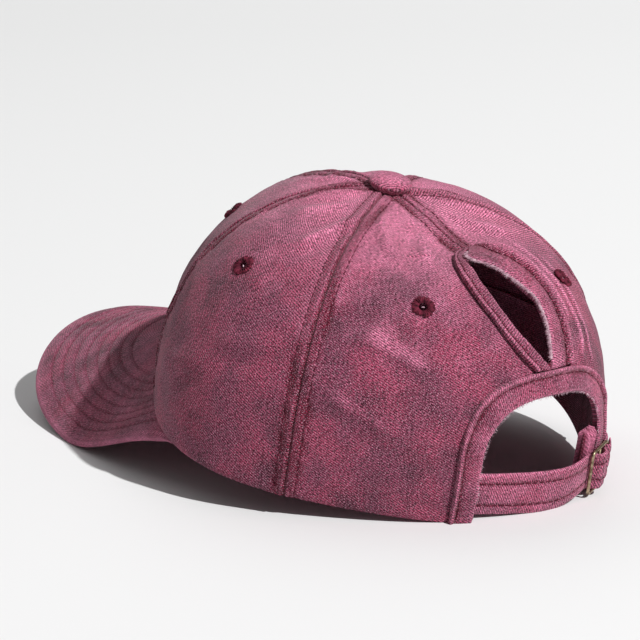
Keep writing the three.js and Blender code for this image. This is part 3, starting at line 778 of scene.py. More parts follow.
class Value:
    """A shader socket that takes Python arithmetic."""

    def __init__(self, tree, socket):
        self.tree, self.socket = tree, socket

    def math(self, operation, *others, clamp=False):
        node = self.tree.nodes.new("ShaderNodeMath")
        node.operation, node.use_clamp = operation, clamp
        for slot, value in zip(node.inputs, (self, *others)):
            if isinstance(value, Value):
                self.tree.links.new(value.socket, slot)
            else:
                slot.default_value = value
        return Value(self.tree, node.outputs[0])

    def __add__(self, other):
        return self.math("ADD", other)

    def __sub__(self, other):
        return self.math("SUBTRACT", other)

    def __rsub__(self, other):
        return (self * -1) + other

    def __mul__(self, other):
        return self.math("MULTIPLY", other)

    __radd__, __rmul__ = __add__, __mul__

    def sine(self):
        return self.math("SINE")

    def between(self, low, high):
        return ((self - low) * (1 / (high - low))).math("ADD", 0, clamp=True)


class Paint:
    """A material and the one way its other nodes are made."""

    def __init__(self, name, **constants):
        self.material = bpy.data.materials.new(name)
        self.material.use_nodes = True
        self.tree = self.material.node_tree
        self.shader = self.tree.nodes["Principled BSDF"]
        for socket, value in constants.items():
            self.shader.inputs[socket.replace("_", " ")].default_value = value

    def node(self, kind, settings=None, output=0, **sockets):
        node = self.tree.nodes.new(f"ShaderNode{kind}")
        for key, value in (settings or {}).items():
            setattr(node, key, value)
        for key, value in sockets.items():
            slot = node.inputs[int(key[1:])] if key[1:].isdigit() else node.inputs[key.replace("_", " ")]
            if isinstance(value, Value):
                self.tree.links.new(value.socket, slot)
            else:
                slot.default_value = value
        return Value(self.tree, node.outputs[output])

    def colour(self, first, second, share):
        def rgba(c):
            return c if isinstance(c, Value) else (*c, 1)
        return self.node("Mix", {"data_type": "RGBA"}, output=2, i0=share, i6=rgba(first), i7=rgba(second))

    def noise(self, where, scale, detail=2.0, roughness=0.5):
        return self.node("TexNoise", Vector=where, Scale=scale, Detail=detail, Roughness=roughness)

    def solid(self):
        """The place in the piece's own metres."""
        return self.node("TexCoord", output=3)

    def mark(self, name):
        """A number written on the cloth's points."""
        return self.node("Attribute", {"attribute_name": name}, output=2)

    def split(self, where):
        """The first two numbers of a place."""
        first = self.node("SeparateXYZ", i0=where)
        return first, Value(self.tree, first.socket.node.outputs[1])

    def feed(self, socket, value):
        self.tree.links.new(value.socket, self.shader.inputs[socket.replace("_", " ")])


# Colours of the washed cloth, and how fine the noises are that spread them
MAUVE = (0.160, 0.033, 0.065)
CRIMSON = (0.228, 0.036, 0.074)
DEEP = (0.050, 0.013, 0.024)
# PALE is mixed in for worn places and painted light, RED for the stitching's colour and painted shade.
PALE = (0.665, 0.205, 0.335)
RED = (0.095, 0.004, 0.016)
WHITE = (0.850, 0.450, 0.580)
WOBBLE_SCALE = 900
CLOUD_SCALE = 38
PATCH_SCALE = 95
HUE_SCALE = 62
DASH_SHAPE = (1.9, 0.85, 1.0)


def washed_twill(name, pale=0.0, weave_angle=62, grain=1.0, blotches=1.0):
    paint = Paint(name, Roughness=0.95, Specular_IOR_Level=0.10, Sheen_Weight=0.12, Sheen_Roughness=0.5)
    solid = paint.solid()
    flat = paint.node("UVMap", {"uv_map": "cloth"})
    turn = (0, 0, math.radians(weave_angle))
    rib = paint.node("Mapping", {"vector_type": "TEXTURE"}, Vector=flat, Rotation=turn, Scale=(0.01,) * 3)
    x, y = paint.split(rib)
    wobble = paint.noise(solid, WOBBLE_SCALE, 1) - 0.5
    twill = ((x * (2 * math.pi / TWILL_RIB)) + wobble * 2.6).sine() * 0.5 + 0.5
    yarn = ((y * (2 * math.pi / YARN_SPACING)) + wobble * 3).sine() * 0.5 + 0.5
    weave = twill * 0.75 + yarn * 0.25

    clouds = paint.noise(solid, CLOUD_SCALE, 3, 0.62)
    patches = paint.noise(solid, PATCH_SCALE, 3, 0.6)
    hue = paint.noise(solid, HUE_SCALE, 2, 0.5)
    dashes = paint.node("Mapping", {"vector_type": "POINT"}, Vector=rib, Scale=DASH_SHAPE)
    flecks = paint.noise(dashes, 1.0, 2.5, 0.72)
    lint = paint.noise(dashes, 1.9, 1)

    base = paint.colour(MAUVE, CRIMSON, hue.between(0.40, 0.60))
    base = paint.colour(base, DEEP, clouds.between(0.52, 0.34) * (0.78 * blotches))
    # Paler with random patches, worn places and painted light; dark crimson along the stitching and where
    # shade is painted.
    light = patches.between(0.44, 0.72) * 0.24 + paint.mark("wear_and_painted_light") * 0.54 + pale
    base = paint.colour(base, PALE, light.math("ADD", 0, clamp=True))
    base = paint.colour(base, RED, paint.mark("red_dye_and_painted_shade") * 0.88)
    speckle = (flecks.between(0.31, 0.69) * (2.2 * grain) + (1 - 1.10 * grain)).math("MAXIMUM", 0.10)
    tone = speckle * (weave * (1.5 * grain) + (1 - 0.75 * grain))
    base = paint.node("VectorMath", {"operation": "SCALE"}, i0=base, Scale=tone)
    base = paint.colour(base, WHITE, lint.between(0.54, 0.72) * (0.56 * grain))
    paint.feed("Base_Color", base)
    paint.feed("Normal", paint.node("Bump", Height=weave * 0.6 + flecks * 0.6, Strength=0.5, Distance=0.0004))
    return paint.material


def thread(name, dark, light):
    paint = Paint(name, Roughness=0.8, Specular_IOR_Level=0.2)
    uneven = paint.noise(paint.solid(), 700, 2).between(0.35, 0.65)
    paint.feed("Base_Color", paint.colour(dark, light, uneven))
    return paint.material


def old_brass(name):
    paint = Paint(name, Metallic=1.0)
    tarnish = paint.noise(paint.solid(), 500, 4, 0.6).between(0.4, 0.62)
    paint.feed("Base_Color", paint.colour((0.46, 0.36, 0.24), (0.16, 0.11, 0.07), tarnish))
    paint.feed("Roughness", tarnish * 0.25 + 0.28)
    return paint.material


CROWN_CLOTH = washed_twill("washed_twill_crown")
PEAK_CLOTH = washed_twill("washed_twill_peak", weave_angle=40, grain=0.6)
BINDING_CLOTH = washed_twill("washed_twill_binding", pale=0.02, weave_angle=30, blotches=0.6)
FOLD_CLOTH = washed_twill("washed_twill_folds", pale=0.12, weave_angle=30, grain=0.4, blotches=0.3)
BAND_CLOTH = washed_twill("washed_twill_band", weave_angle=50)
STITCH_THREAD = thread("stitch_thread", (0.045, 0.004, 0.012), (0.140, 0.014, 0.036))
PEAK_THREAD = thread("peak_thread", (0.130, 0.020, 0.042), (0.260, 0.060, 0.105))
EYELET_THREAD = thread("eyelet_thread", (0.030, 0.002, 0.007), (0.190, 0.022, 0.048))
# Pale thread for the frayed fibres and for the painted light in the eyelets' holes.
FRAY_AND_LIGHT_SPECK_THREAD = thread("fray_and_painted_light_thread", (0.480, 0.260, 0.340), (0.750, 0.540, 0.610))
BRASS = old_brass("old_brass")


def finish_piece(piece, material):
    piece.data.materials.clear()
    piece.data.materials.append(material)
    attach(piece, "root")
    return piece


# Stitches, all cut from one small spindle of thread

def spindle():
    bpy.ops.mesh.primitive_uv_sphere_add(segments=6, ring_count=4, radius=1)
    shape = bpy.context.object
    points = np.array([v.co[:] for v in shape.data.vertices])
    faces = [list(p.vertices) for p in shape.data.polygons]
    bpy.data.objects.remove(shape)
    return points, faces


SPINDLE_POINTS, SPINDLE_FACES = spindle()


def lay_stitches(name, rows, seed, length=STITCH_LENGTH, pitch=STITCH_PITCH,
                 thickness=STITCH_THICKNESS, yarn=STITCH_THREAD):
    """rows are (points, normals) along each line of stitching, in millimetres on the level cap."""
    points, faces, count = [], [], 0
    dice = np.random.default_rng(seed)
    for line, normals in rows:
        along = length_along(line)
        for middle in np.arange(pitch / 2, along[-1] - pitch / 2, pitch):
            middle += dice.uniform(-STITCH_WANDER, STITCH_WANDER)
            start, centre, end = (np.array([np.interp(middle + d, along, line[:, k]) for k in range(3)])
                                  for d in (-length / 2, 0, length / 2))
            up = unit(np.array([np.interp(middle, along, normals[:, k]) for k in range(3)]))
            forward = unit(end - start)
            beside = unit(np.cross(up, forward))
            above = np.cross(forward, beside)
            axes = np.stack([beside * thickness / 2, above * thickness / 2, forward * length / 2])
            points.append(centre + SPINDLE_POINTS @ axes)
            faces += [[i + count for i in face] for face in SPINDLE_FACES]
            count += len(SPINDLE_POINTS)
    piece = new_object(name, set_down(np.concatenate(points)), faces)
    shade_round(piece)
    return finish_piece(piece, yarn)


def crown_row(seam, side, low, high):
    climbs = np.linspace(low, high, 260)
    rise = rise_after(seam, climbs)
    turn = seam + side * SEAM_ROW / girth(np.full_like(rise, seam), rise)
    return cloth_point(turn, rise, STITCH_LIFT), crown_normal(turn, rise)


def back_row(across, up, out, with_relief=True):
    turn, rise = back_turn(across, up)
    return on_back(across, up, out, with_relief), crown_normal(turn, rise)


# Building the cap

def build_crown():
    for name, start, end in PANELS:
        for side in (1, -1):
            panel(name, side, start, end)
    rows = []
    for seam in SEAMS:
        low = SLOT_FOOT + SLOT_LENGTH - 1 if seam == BACK else 2
        high = climb_line(seam)[1][-1] - BUTTON_RADIUS + 1
        rows += [crown_row(seam, side, low, high) for side in (-1, 1)]
    lay_stitches("stitches_crown", rows, seed=1)


def build_button():
    bpy.ops.mesh.primitive_uv_sphere_add(segments=48, ring_count=24, radius=BUTTON_RADIUS)
    piece = bpy.context.object
    piece.name = piece.data.name = "button_cover"
    bpy.ops.object.mode_set(mode="EDIT")
    bpy.ops.mesh.select_all(action="SELECT")
    bpy.ops.mesh.bisect(
        plane_co=(0, 0, BUTTON_FOOT), plane_no=(0, 0, 1), clear_inner=True, use_fill=True)
    bpy.ops.object.mode_set(mode="OBJECT")
    co = points_of(piece)
    radius = np.linalg.norm(co[:, :2], axis=1)
    height = ((co[:, 2] - BUTTON_FOOT) / (BUTTON_RADIUS - BUTTON_FOOT)).clip(0)
    co[:, 2] = BUTTON_HEIGHT * (0.25 * height + 0.75 * height ** 0.7)
    co += (0.12 * lattice_noise(co, 3.0, 7))[:, None] * np.array([1, 1, 0.6])
    move_points(piece, co)
    # Paler towards the top; painted shade in dark crimson round the foot, under the dome's bulge.
    wear_and_painted_light = 0.25 + 0.5 * smooth(height, 0.4, 1.0)
    red_dye_and_painted_shade = 0.3 * smooth(radius, BUTTON_RADIUS * 0.8, BUTTON_RADIUS) * (height < 0.4)
    dress(piece, co[:, :2], wear_and_painted_light, red_dye_and_painted_shade)
    settle_in_place(piece, Matrix.Translation((0, -APEX_FORWARD, CROWN_HEIGHT + GAP)))
    shade_round(piece)
    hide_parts("button")
    finish_piece(piece, CROWN_CLOTH)


def standing_on(point, normal, lift):
    turned = Vector((0, 0, 1)).rotation_difference(Vector(normal)).to_matrix().to_4x4()
    return Matrix.Translation(Vector(point) + Vector(normal) * lift) @ turned


def build_eyelets():
    ring, tube = (EYELET_RADIUS + EYELET_HOLE) / 2, (EYELET_RADIUS - EYELET_HOLE) / 2
    light_specks = []
    for (name, start, end), (word, side) in product(PANELS, (("left", 1), ("right", -1))):
        point, normal = eyelet_place(name, side * (start + end) / 2)
        bpy.ops.mesh.primitive_torus_add(
            major_segments=4 * EYELET_THREADS, minor_segments=12, major_radius=ring, minor_radius=tube)
        piece = bpy.context.object
        piece.name = piece.data.name = f"sewn_eyelet_{name}_{word}"
        co = points_of(piece)
        angle = np.arctan2(co[:, 1], co[:, 0])
        away = np.linalg.norm(co[:, :2], axis=1)
        ridge = 1 + THREAD_RIDGE * np.cos(EYELET_THREADS * angle)
        ridge += THREAD_UNEVENNESS * line_noise(angle * 6, 1.0, 3 + side)
        co[:, 2] = co[:, 2] * EYELET_FLATNESS * ridge + EYELET_RISE
        rim = EYELET_RAGGED * line_noise(angle * 7, 1.0, 9 + side) * smooth(away, ring, EYELET_RADIUS)
        co[:, :2] *= (1 + rim)[:, None]
        move_points(piece, co)
        settle_in_place(piece, standing_on(point, normal, 0.1))
        shade_round(piece)
        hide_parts(f"eyelet_{name}_{word}")
        finish_piece(piece, EYELET_THREAD)
        # A pale speck of painted light across the middle of the eyelet's hole.
        beside = unit(np.cross(normal, (0.3, 0.2, 1.0)))
        line = point + beside * np.array([[-LIGHT_SPECK_REACH], [LIGHT_SPECK_REACH]]) + normal * 0.1
        light_specks.append((line, np.array([normal, normal])))
    lay_stitches("eyelet_painted_light_specks", light_specks, seed=6, length=LIGHT_SPECK_LENGTH, pitch=LIGHT_SPECK_LENGTH,
                 thickness=LIGHT_SPECK_THICKNESS, yarn=FRAY_AND_LIGHT_SPECK_THREAD)


def peak_length(side):
    return np.linalg.norm(peak_surface(side, 1) - peak_surface(side, 0), axis=-1)


def peak_relief(side, depth):
    """Pillows between the rows of stitching, the rows' grooves, and millimetres in from the edge."""
    inward = (1 - depth) * peak_length(side)
    row = (inward - PEAK_FIRST_ROW) / PEAK_ROW_SPACING
    nearest = np.clip(np.round(row), 0, PEAK_ROW_COUNT - 1)
    from_row = np.abs(row - nearest) * PEAK_ROW_SPACING
    groove = bump(from_row, 0.8)
    points = peak_surface(side, depth)
    puckers = lattice_noise(points, 3.2, 21) * bump(from_row, 2.4)
    height = PEAK_PILLOW - PEAK_GROOVE * groove + PEAK_PUCKERS * puckers
    return height + PEAK_WAVES * lattice_noise(points, 24, 22), groove, inward


def build_peak():
    sides = np.linspace(-1, 1, 221)[:, None]
    depths = np.concatenate([np.linspace(0, 0.9, 76), np.linspace(0.9, 1, 14)[1:]])[None, :]
    height, groove, inward = peak_relief(sides, depths)
    top = peak_surface(sides, depths)
    top[..., 2] += height * smooth(inward, 0, 2)
    thickness = peak_thickness(sides) * (1 - 0.75 * smooth(np.abs(sides), 0.88, 1))
    bottom = peak_surface(sides, depths)
    under = 0.8 * (height - PEAK_PILLOW) * smooth(inward, 0, 2)
    bottom[..., 2] -= thickness - np.clip(0.15 - under * 0.4, 0, None)
    edge = peak_surface(sides[:, 0], 1)
    outward = edge - peak_surface(sides[:, 0], 0)
    outward[:, 2] = 0
    outward = unit(outward + 1e-9) * (1 - np.abs(sides) ** 6) * PEAK_RIM
    fall = np.array([0, 0, 0.5]) * thickness
    rim = [edge + outward * math.cos(a) + fall * (math.sin(a) - 1) for a in PEAK_RIM_ANGLES]
    rings = np.concatenate([top, np.stack(rim, axis=1), bottom[:, ::-1]], axis=1)
    count = len(PEAK_RIM_ANGLES)
    along = np.broadcast_to(sides * 95, inward.shape)
    over_rim = 2.0 * np.arange(1, count + 1) - inward[:, -1:]
    rim_place = np.stack(np.broadcast_arrays(along[:, -1:], over_rim), axis=-1)
    face_place = np.stack([along, -inward], axis=-1)
    place = np.concatenate([face_place, rim_place, face_place[:, ::-1]], axis=1)
    face_wear = 0.30 * smooth(-inward, -3.0, -0.5) + 0.10 * smooth(height, 0.1, 0.5)
    wear_and_painted_light = np.concatenate([face_wear, np.full((len(sides), count), 0.65), face_wear[:, ::-1]], axis=1)
    face_red = 0.40 * groove * (inward > PEAK_FIRST_ROW - 2)
    red_dye_and_painted_shade = np.concatenate([face_red, np.zeros((len(sides), count)), face_red[:, ::-1]], axis=1)
    piece = loft("stitched_peak", settle(rings), place, wear_and_painted_light, red_dye_and_painted_shade)
    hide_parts("peak")
    finish_piece(piece, PEAK_CLOTH)

    rows = []
    fine = np.linspace(-1, 1, 1201)
    long = peak_length(fine)
    for number in range(PEAK_ROW_COUNT):
        inset = PEAK_FIRST_ROW + number * PEAK_ROW_SPACING
        depth = 1 - inset / np.maximum(long, 1e-3)
        shown = depth > 0.01
        side, depth = fine[shown], depth[shown]
        line = peak_surface(side, depth)
        line[:, 2] += peak_relief(side, depth)[0] + STITCH_LIFT
        lower = line.copy()
        lower[:, 2] -= peak_thickness(side) + 0.05
        upward = np.tile([0, 0, 1.0], (len(line), 1))
        rows += [(line, upward), (lower, -upward)]
    lay_stitches("stitches_peak", rows, seed=2, thickness=PEAK_STITCH_THICKNESS, yarn=PEAK_THREAD)


def binding_profile(ridge, row):
    """Out of the cloth, in shares of the strip's thickness, from the open edge to the outer edge."""
    by_row = row + np.array([-0.12, -0.05, 0, 0.06, 0.12, 0.18])
    across = np.concatenate([[0.0, 0.03, 0.10, 0.25, 0.42], by_row, [0.97, 1.0]])
    places = [0, 0.03, 0.10, row - 0.14, row, row + 0.10, row + 0.18, 0.98, 1.0]
    heights = [0.35, 0.75, 0.95, 0.95, 0.62, 1 + 0.6 * ridge, 1.1 + 0.8 * ridge, 0.9 + 0.4 * ridge, 0.35]
    return across, np.interp(across, places, heights)


def strip_rings(places, thickness, along, seed, ridge=0.5, lifted=0.0, row=STRIP_ROW, fade=0.0):
    """Rings round a binding strip, with what dress needs. places(share across the strip) gives the
    strip's (across, up) at every station, and along how far each station is from the first."""
    shares, top = binding_profile(ridge, row)
    over, under, edges, red_dyes_and_painted_shades = [], [], [], []
    fading = 1 - fade * smooth(along / along[-1], 0.90, 1.0)
    for share, height in zip(shares, top):
        across, up = places(share)
        puckers = STRIP_PUCKERS * line_noise(along, 3.2, seed) * bump(share - row, 0.24)
        puckers += STRIP_WAVES * line_noise(along, 7.0, seed + 1)
        ragged = STRIP_RAGGED * line_noise(along, 1.2, seed + 2) * bump(share, 0.05)
        lift = GAP + lifted * smooth(share, row - 0.02, 1.0) * fading
        over.append(on_back(across + ragged, up, lift + (thickness * height + puckers) * fading))
        under.append(on_back(across, up, lift))
        edges.append(0.6 * bump(share, 0.08) + 0.6 * bump(share - row - 0.18, 0.08))
        red_dyes_and_painted_shades.append(bump(share - row, 0.10))
    middle = len(along) // 2
    width = np.linalg.norm(over[-1][middle] - over[0][middle])

    def there_and_back(values):
        return np.concatenate([values, values[::-1]])

    along = along[:, None]
    place = np.stack(np.broadcast_arrays(along, there_and_back(shares) * width), axis=-1)
    wear_and_painted_light = there_and_back(edges) + 0 * along
    red_dye_and_painted_shade = (0.9 + 0.4 * line_noise(along, 4.0, seed + 3)) * there_and_back(red_dyes_and_painted_shades)
    return np.stack(over + under[::-1], axis=1), place, wear_and_painted_light, red_dye_and_painted_shade


def arch_outline(share, outset):
    """The arch as (across, up), round from the right leg's foot (share -1) to the left's (share 1)."""
    half = ARCH_HALF_WIDTH + outset
    from_top, side = np.abs(share), np.sign(share)
    angle = math.pi / 2 * np.clip(from_top / (1 - ARCH_LEG), 0, 1)
    power = 2 / ARCH_SQUARENESS
    across = side * half * np.sin(angle).clip(0) ** power
    up = mix(ARCH_SPRING, ARCH_TOP + outset, np.cos(angle).clip(0) ** power)
    low = from_top > 1 - ARCH_LEG
    return np.where(low, side * half, across), np.where(low, ARCH_SPRING * (1 - from_top) / ARCH_LEG, up)


def build_arch_binding():
    share = np.linspace(-1, 1, 241)
    along = length_along(np.stack(arch_outline(share, ARCH_BINDING_WIDTH), axis=-1))
    rings, place, wear_and_painted_light, red_dye_and_painted_shade = strip_rings(
        lambda s: arch_outline(share, s * ARCH_BINDING_WIDTH), BINDING_THICKNESS, along, 41)
    piece = loft("arch_strip", settle(rings), place, wear_and_painted_light, red_dye_and_painted_shade)
    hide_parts("arch_binding")
    finish_piece(piece, BINDING_CLOTH)
    across, up = arch_outline(share, STRIP_ROW * ARCH_BINDING_WIDTH)
    lay_stitches("stitches_arch", [back_row(across, up, GAP + BINDING_THICKNESS * ROW_IN_STRIP)], seed=3)


def slot_places(side, share):
    """A slot strip's own places, for strip_rings, with the corners of its outline eased."""
    hole, outer = ("hole_left", "outer_left") if side > 0 else ("hole_right", "outer_right")
    up = SLOT_FOOT + SLOT_LENGTH * share
    around = np.linspace(-0.04, 0.04, 7)[:, None] + share[None, :]
    near = slot_edge(hole, around).mean(axis=0) + side * GAP / 2
    far = slot_edge(outer, around).mean(axis=0)
    return lambda s: (mix(near, far, s), up)


def build_slot_bindings():
    share = np.linspace(0, 1, 141)
    rows = []
    for word, side, ridge, lifted, row, seed in SLOT_STRIPS:
        places = slot_places(side, share)
        along = length_along(np.stack(places(1.0), axis=-1))
        rings, place, wear_and_painted_light, red_dye_and_painted_shade = strip_rings(
            places, SLOT_BINDING_THICKNESS, along, seed, ridge, lifted, row, STRIP_END_FADE)
        piece = loft(f"slot_strip_{word}", settle(rings), place, wear_and_painted_light, red_dye_and_painted_shade)
        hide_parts(f"slot_binding_{word}")
        finish_piece(piece, BINDING_CLOTH)
        rows.append(back_row(*places(row), GAP + SLOT_BINDING_THICKNESS * ROW_IN_STRIP))
    lay_stitches("stitches_slot", rows, seed=4)


# Routes of the strap and its tab round the buckle, as across and out

STRAP_HALF, TAB_HALF, BAR_HALF = STRAP_THICKNESS / 2, TAB_THICKNESS / 2, BUCKLE_WIRE / 2
BAR_SPACING = (BUCKLE_WIDTH - BUCKLE_WIRE) / 2
OVER_STRAP = BAR_HALF + GAP + BUCKLE_EASE + STRAP_HALF
RIDGE_OUT = GAP + BINDING_THICKNESS * 1.3
TAB_TURN = BAR_HALF + GAP / 2 + TAB_HALF
TAB_ON_LEG = RIDGE_OUT + GAP / 2 + TAB_HALF
REAR_BAR = np.array([-BUCKLE_PLACE - BAR_SPACING, TAB_ON_LEG + TAB_TURN])
FRONT_BAR = np.array([-BUCKLE_PLACE + BAR_SPACING, BUCKLE_FRONT_OUT])
MIDDLE_BAR = (FRONT_BAR + REAR_BAR) / 2


def swing(route, across, out, steps=16):
    """Carries a route on to (across, out) in a soft double bend."""
    start, end = np.array(route[-1]), np.array([across, out])
    t = np.linspace(0, 1, steps + 1)[1:, None]
    half = (start[0] + across) / 2
    first, second = np.array([half, start[1]]), np.array([half, out])
    rest = 1 - t
    curve = rest ** 3 * start + 3 * t * rest ** 2 * first + 3 * t ** 2 * rest * second + t ** 3 * end
    route.extend(curve.tolist())


def strap_route():
    inside = -CLOTH - GAP - BAND_EASE - STRAP_HALF
    route = [[ARCH_HALF_WIDTH + ARCH_BINDING_WIDTH - 2 * GAP, inside]]
    route.append([ARCH_HALF_WIDTH - STRAP_THICKNESS, inside])
    swing(route, FRONT_BAR[0] + BUCKLE_WIRE, FRONT_BAR[1] - OVER_STRAP, 40)
    route.append([FRONT_BAR[0] - BAR_HALF, FRONT_BAR[1] - OVER_STRAP])
    swing(route, MIDDLE_BAR[0] + BAR_HALF, MIDDLE_BAR[1] + OVER_STRAP)
    route.append([MIDDLE_BAR[0] - BAR_HALF, MIDDLE_BAR[1] + OVER_STRAP])
    swing(route, MIDDLE_BAR[0] - BAR_SPACING / 2, MIDDLE_BAR[1] + BAR_HALF)
    return np.array(route)


def tab_route():
    fold_end = -ARCH_HALF_WIDTH - ARCH_BINDING_WIDTH
    route = [[-TAB_END, GAP + TAB_HALF]]
    swing(route, fold_end - GAP, TAB_ON_LEG)
    route.append([REAR_BAR[0], TAB_ON_LEG])
    for angle in np.linspace(-math.pi / 2, math.pi / 2, 13)[1:]:
        route.append(REAR_BAR + TAB_TURN * np.array([math.cos(angle), math.sin(angle)]))
    route.append([fold_end, TAB_ON_LEG + TAB_THICKNESS + GAP])
    return np.array(route)


def ribbon(name, node, route, thickness, seed):
    """A strap along its route, narrowed and leant at the buckle. Returns its rows of stitching."""
    along = length_along(route)
    even = np.arange(0, along[-1], 0.7)
    place = np.stack([np.interp(even, along, route[:, k]) for k in range(2)], axis=-1)
    tangent = unit(np.gradient(place, axis=0))
    sideways = np.stack([-tangent[:, 1], tangent[:, 0]], axis=-1)
    lean = math.tan(BUCKLE_LEAN)
    near = smooth(-place[:, 0], 0, -FRONT_BAR[0])
    middle = mix(STRAP_MIDDLE, BUCKLE_MIDDLE - lean * (place[:, 0] + BUCKLE_PLACE), near)
    half = mix(STRAP_WIDTH, STRAP_IN_BUCKLE, near) / 2
    ups = np.linspace(-1, 1, 33)
    height = ups[None, :] * half[:, None]
    from_row = np.abs(np.abs(height) - (half[:, None] - STRAP_ROW))
    puckers = STRAP_PUCKERS * line_noise(even, 3.2, seed)[:, None] * bump(from_row, 1.8)
    spots = np.stack(np.broadcast_arrays(even[:, None], height, 0 * height), axis=-1)
    waves = STRAP_WAVES * lattice_noise(spots, 7, seed)
    groove = bump(from_row, 0.8)
    edge = smooth(np.abs(height) - half[:, None], -1.2, 0)
    faces = []
    for sign in (1, -1):
        depth = sign * (thickness / 2 * (1 - 0.6 * edge) - STRAP_GROOVE * groove) + puckers + waves
        across = place[:, :1] + depth * sideways[:, :1] + (near * lean)[:, None] * height
        out = place[:, 1:] + depth * sideways[:, 1:]
        faces.append(on_back(across, middle[:, None] + height, out, with_relief=False))
    rings = np.concatenate([faces[0], faces[1][:, ::-1]], axis=1)
    flat = np.stack(np.broadcast_arrays(even[:, None], height), axis=-1)
    patchy = smooth(line_noise(even, 2.6, seed), 0, 1)[:, None]
    wear_and_painted_light = 0.15 + 0.5 * edge + 0.25 * patchy * bump(from_row, 1.6)
    red_dye_and_painted_shade = groove * (0.9 + 0.3 * line_noise(even, 5.0, seed + 4)[:, None])
    both_faces = (np.concatenate([v, v[:, ::-1]], axis=1) for v in (flat, wear_and_painted_light, red_dye_and_painted_shade))
    piece = loft(name, settle(rings), *both_faces)
    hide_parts(node)
    finish_piece(piece, BINDING_CLOTH)
    rows = []
    for sign, face in product((-1, 1), (1, -1)):
        from_middle = sign * (half - STRAP_ROW)
        across, out = (place + face * (thickness / 2 - 0.10) * sideways).T
        across = across + near * lean * from_middle
        rows.append(back_row(across, middle + from_middle, out, with_relief=False))
    return rows


def back_frame(start, end, up):
    """Axes midway between two (across, out) places at one height: sideways, upward and outward."""
    a = on_back(start[0], up, start[1], with_relief=False)
    b = on_back(end[0], up, end[1], with_relief=False)
    sideways = unit(b - a)
    upward = on_back(start[0], up + 1, start[1], with_relief=False) - a
    outward = unit(np.cross(sideways, upward))
    upward = np.cross(outward, sideways)
    matrix = np.eye(4)
    matrix[:3] = np.stack([sideways, upward, outward, (a + b) / 2], axis=1)
    return Matrix(matrix.tolist())


def build_buckle():
    """A wire loop with rounded corners and a straight middle bar."""
    bpy.ops.mesh.primitive_plane_add(size=1)
    loop = bpy.context.object
    loop.scale = (BUCKLE_WIDTH - BUCKLE_WIRE, BUCKLE_HEIGHT - BUCKLE_WIRE, 1)
    bpy.ops.object.transform_apply(location=False, rotation=False, scale=True)
    bpy.ops.object.mode_set(mode="EDIT")
    bpy.ops.mesh.select_all(action="SELECT")
    bpy.ops.mesh.bevel(offset=BUCKLE_CORNER, segments=5, affect="VERTICES")
    bpy.ops.mesh.delete(type="ONLY_FACE")
    bpy.ops.object.mode_set(mode="OBJECT")
    bpy.ops.object.convert(target="CURVE")
    loop.data.bevel_depth = BUCKLE_WIRE / 2
    loop.data.bevel_resolution = 3
    bpy.ops.object.convert(target="MESH")
    loop = bpy.context.object
    upright = (math.pi / 2, 0, 0)
    bpy.ops.mesh.primitive_cylinder_add(
        vertices=16, radius=BUCKLE_BAR_RADIUS, depth=BUCKLE_HEIGHT - BUCKLE_WIRE, rotation=upright)
    bpy.ops.object.transform_apply(location=False, rotation=True, scale=False)
    loop.select_set(True)
    bpy.context.view_layer.objects.active = loop
    bpy.ops.object.join()
    loop.name = loop.data.name = "wire_buckle"
    lean = Matrix.Rotation(BUCKLE_LEAN, 4, "Z")
    settle_in_place(loop, back_frame(FRONT_BAR, REAR_BAR, BUCKLE_MIDDLE) @ lean)
    face_outwards(loop)
    bpy.ops.object.shade_smooth()
    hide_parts("buckle")
    finish_piece(loop, BRASS)


def build_spare_end():
    """Upright folds: a waved outline drawn upwards, with soft tops."""
    width = SPARE_FOLDS * SPARE_FOLD_WIDTH
    behind_strap = FRONT_BAR[1] - OVER_STRAP - STRAP_HALF - GAP - BUCKLE_EASE
    right = np.array([-ARCH_HALF_WIDTH + SPARE_FROM_LEG, behind_strap - SPARE_DEPTH / 2])
    left = right + np.array([width, 0])
    stand = np.array(back_frame(left, right, SPARE_FOOT))
    angle = np.linspace(0, 2 * math.pi, 240, endpoint=False)
    x = width / 2 * np.sign(np.cos(angle)) * np.abs(np.cos(angle)) ** 0.7
    depth = SPARE_DEPTH / 2 * np.sign(np.sin(angle)) * np.abs(np.sin(angle)) ** 0.3
    waves = np.cos(2 * math.pi * SPARE_FOLDS * (x / width + 0.5) + math.pi)
    lobes = 0.75 * waves - 0.05
    head = 0.9 + 0.1 * np.sin(np.linspace(0, math.pi / 2, 9)[1:])
    levels = np.concatenate([np.linspace(0, 0.9, 26), head])
    rings, places, wears, red_dyes_and_painted_shades = [], [], [], []
    for level in levels:
        top = smooth(level, 0.9, 1.0)
        domes = SPARE_DOME * (0.5 + 0.5 * waves) * smooth(level, 0.7, 1)
        y = (SPARE_HEAD - SPARE_FOOT - SPARE_DOME - 0.2) * level + domes
        z = depth * (0.85 + 0.8 * lobes) * (1 - 0.55 * top) + 0.25 * line_noise(x + 9 * level, 1.7, 71)
        spread = x * (1 - 0.10 * top) + 0.35 * math.sin(5 * level)
        local = np.stack([spread, y, z, np.ones_like(x)], axis=-1)
        rings.append((local @ stand.T)[:, :3])
        places.append(np.stack([x * 1.6, y], axis=-1))
        # Paler on the crests of the folds; painted shade in dark crimson in the hollows between them.
        wears.append(0.30 + 0.70 * smooth(lobes, 0.0, 0.5))
        red_dyes_and_painted_shades.append(smooth(-lobes, 0.2, 0.6))
    marks = (np.stack(v) for v in (places, wears, red_dyes_and_painted_shades))
    piece = loft("spare_folds", set_down(np.stack(rings)), *marks)
    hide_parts("strap_spare_end")
    finish_piece(piece, FOLD_CLOTH)


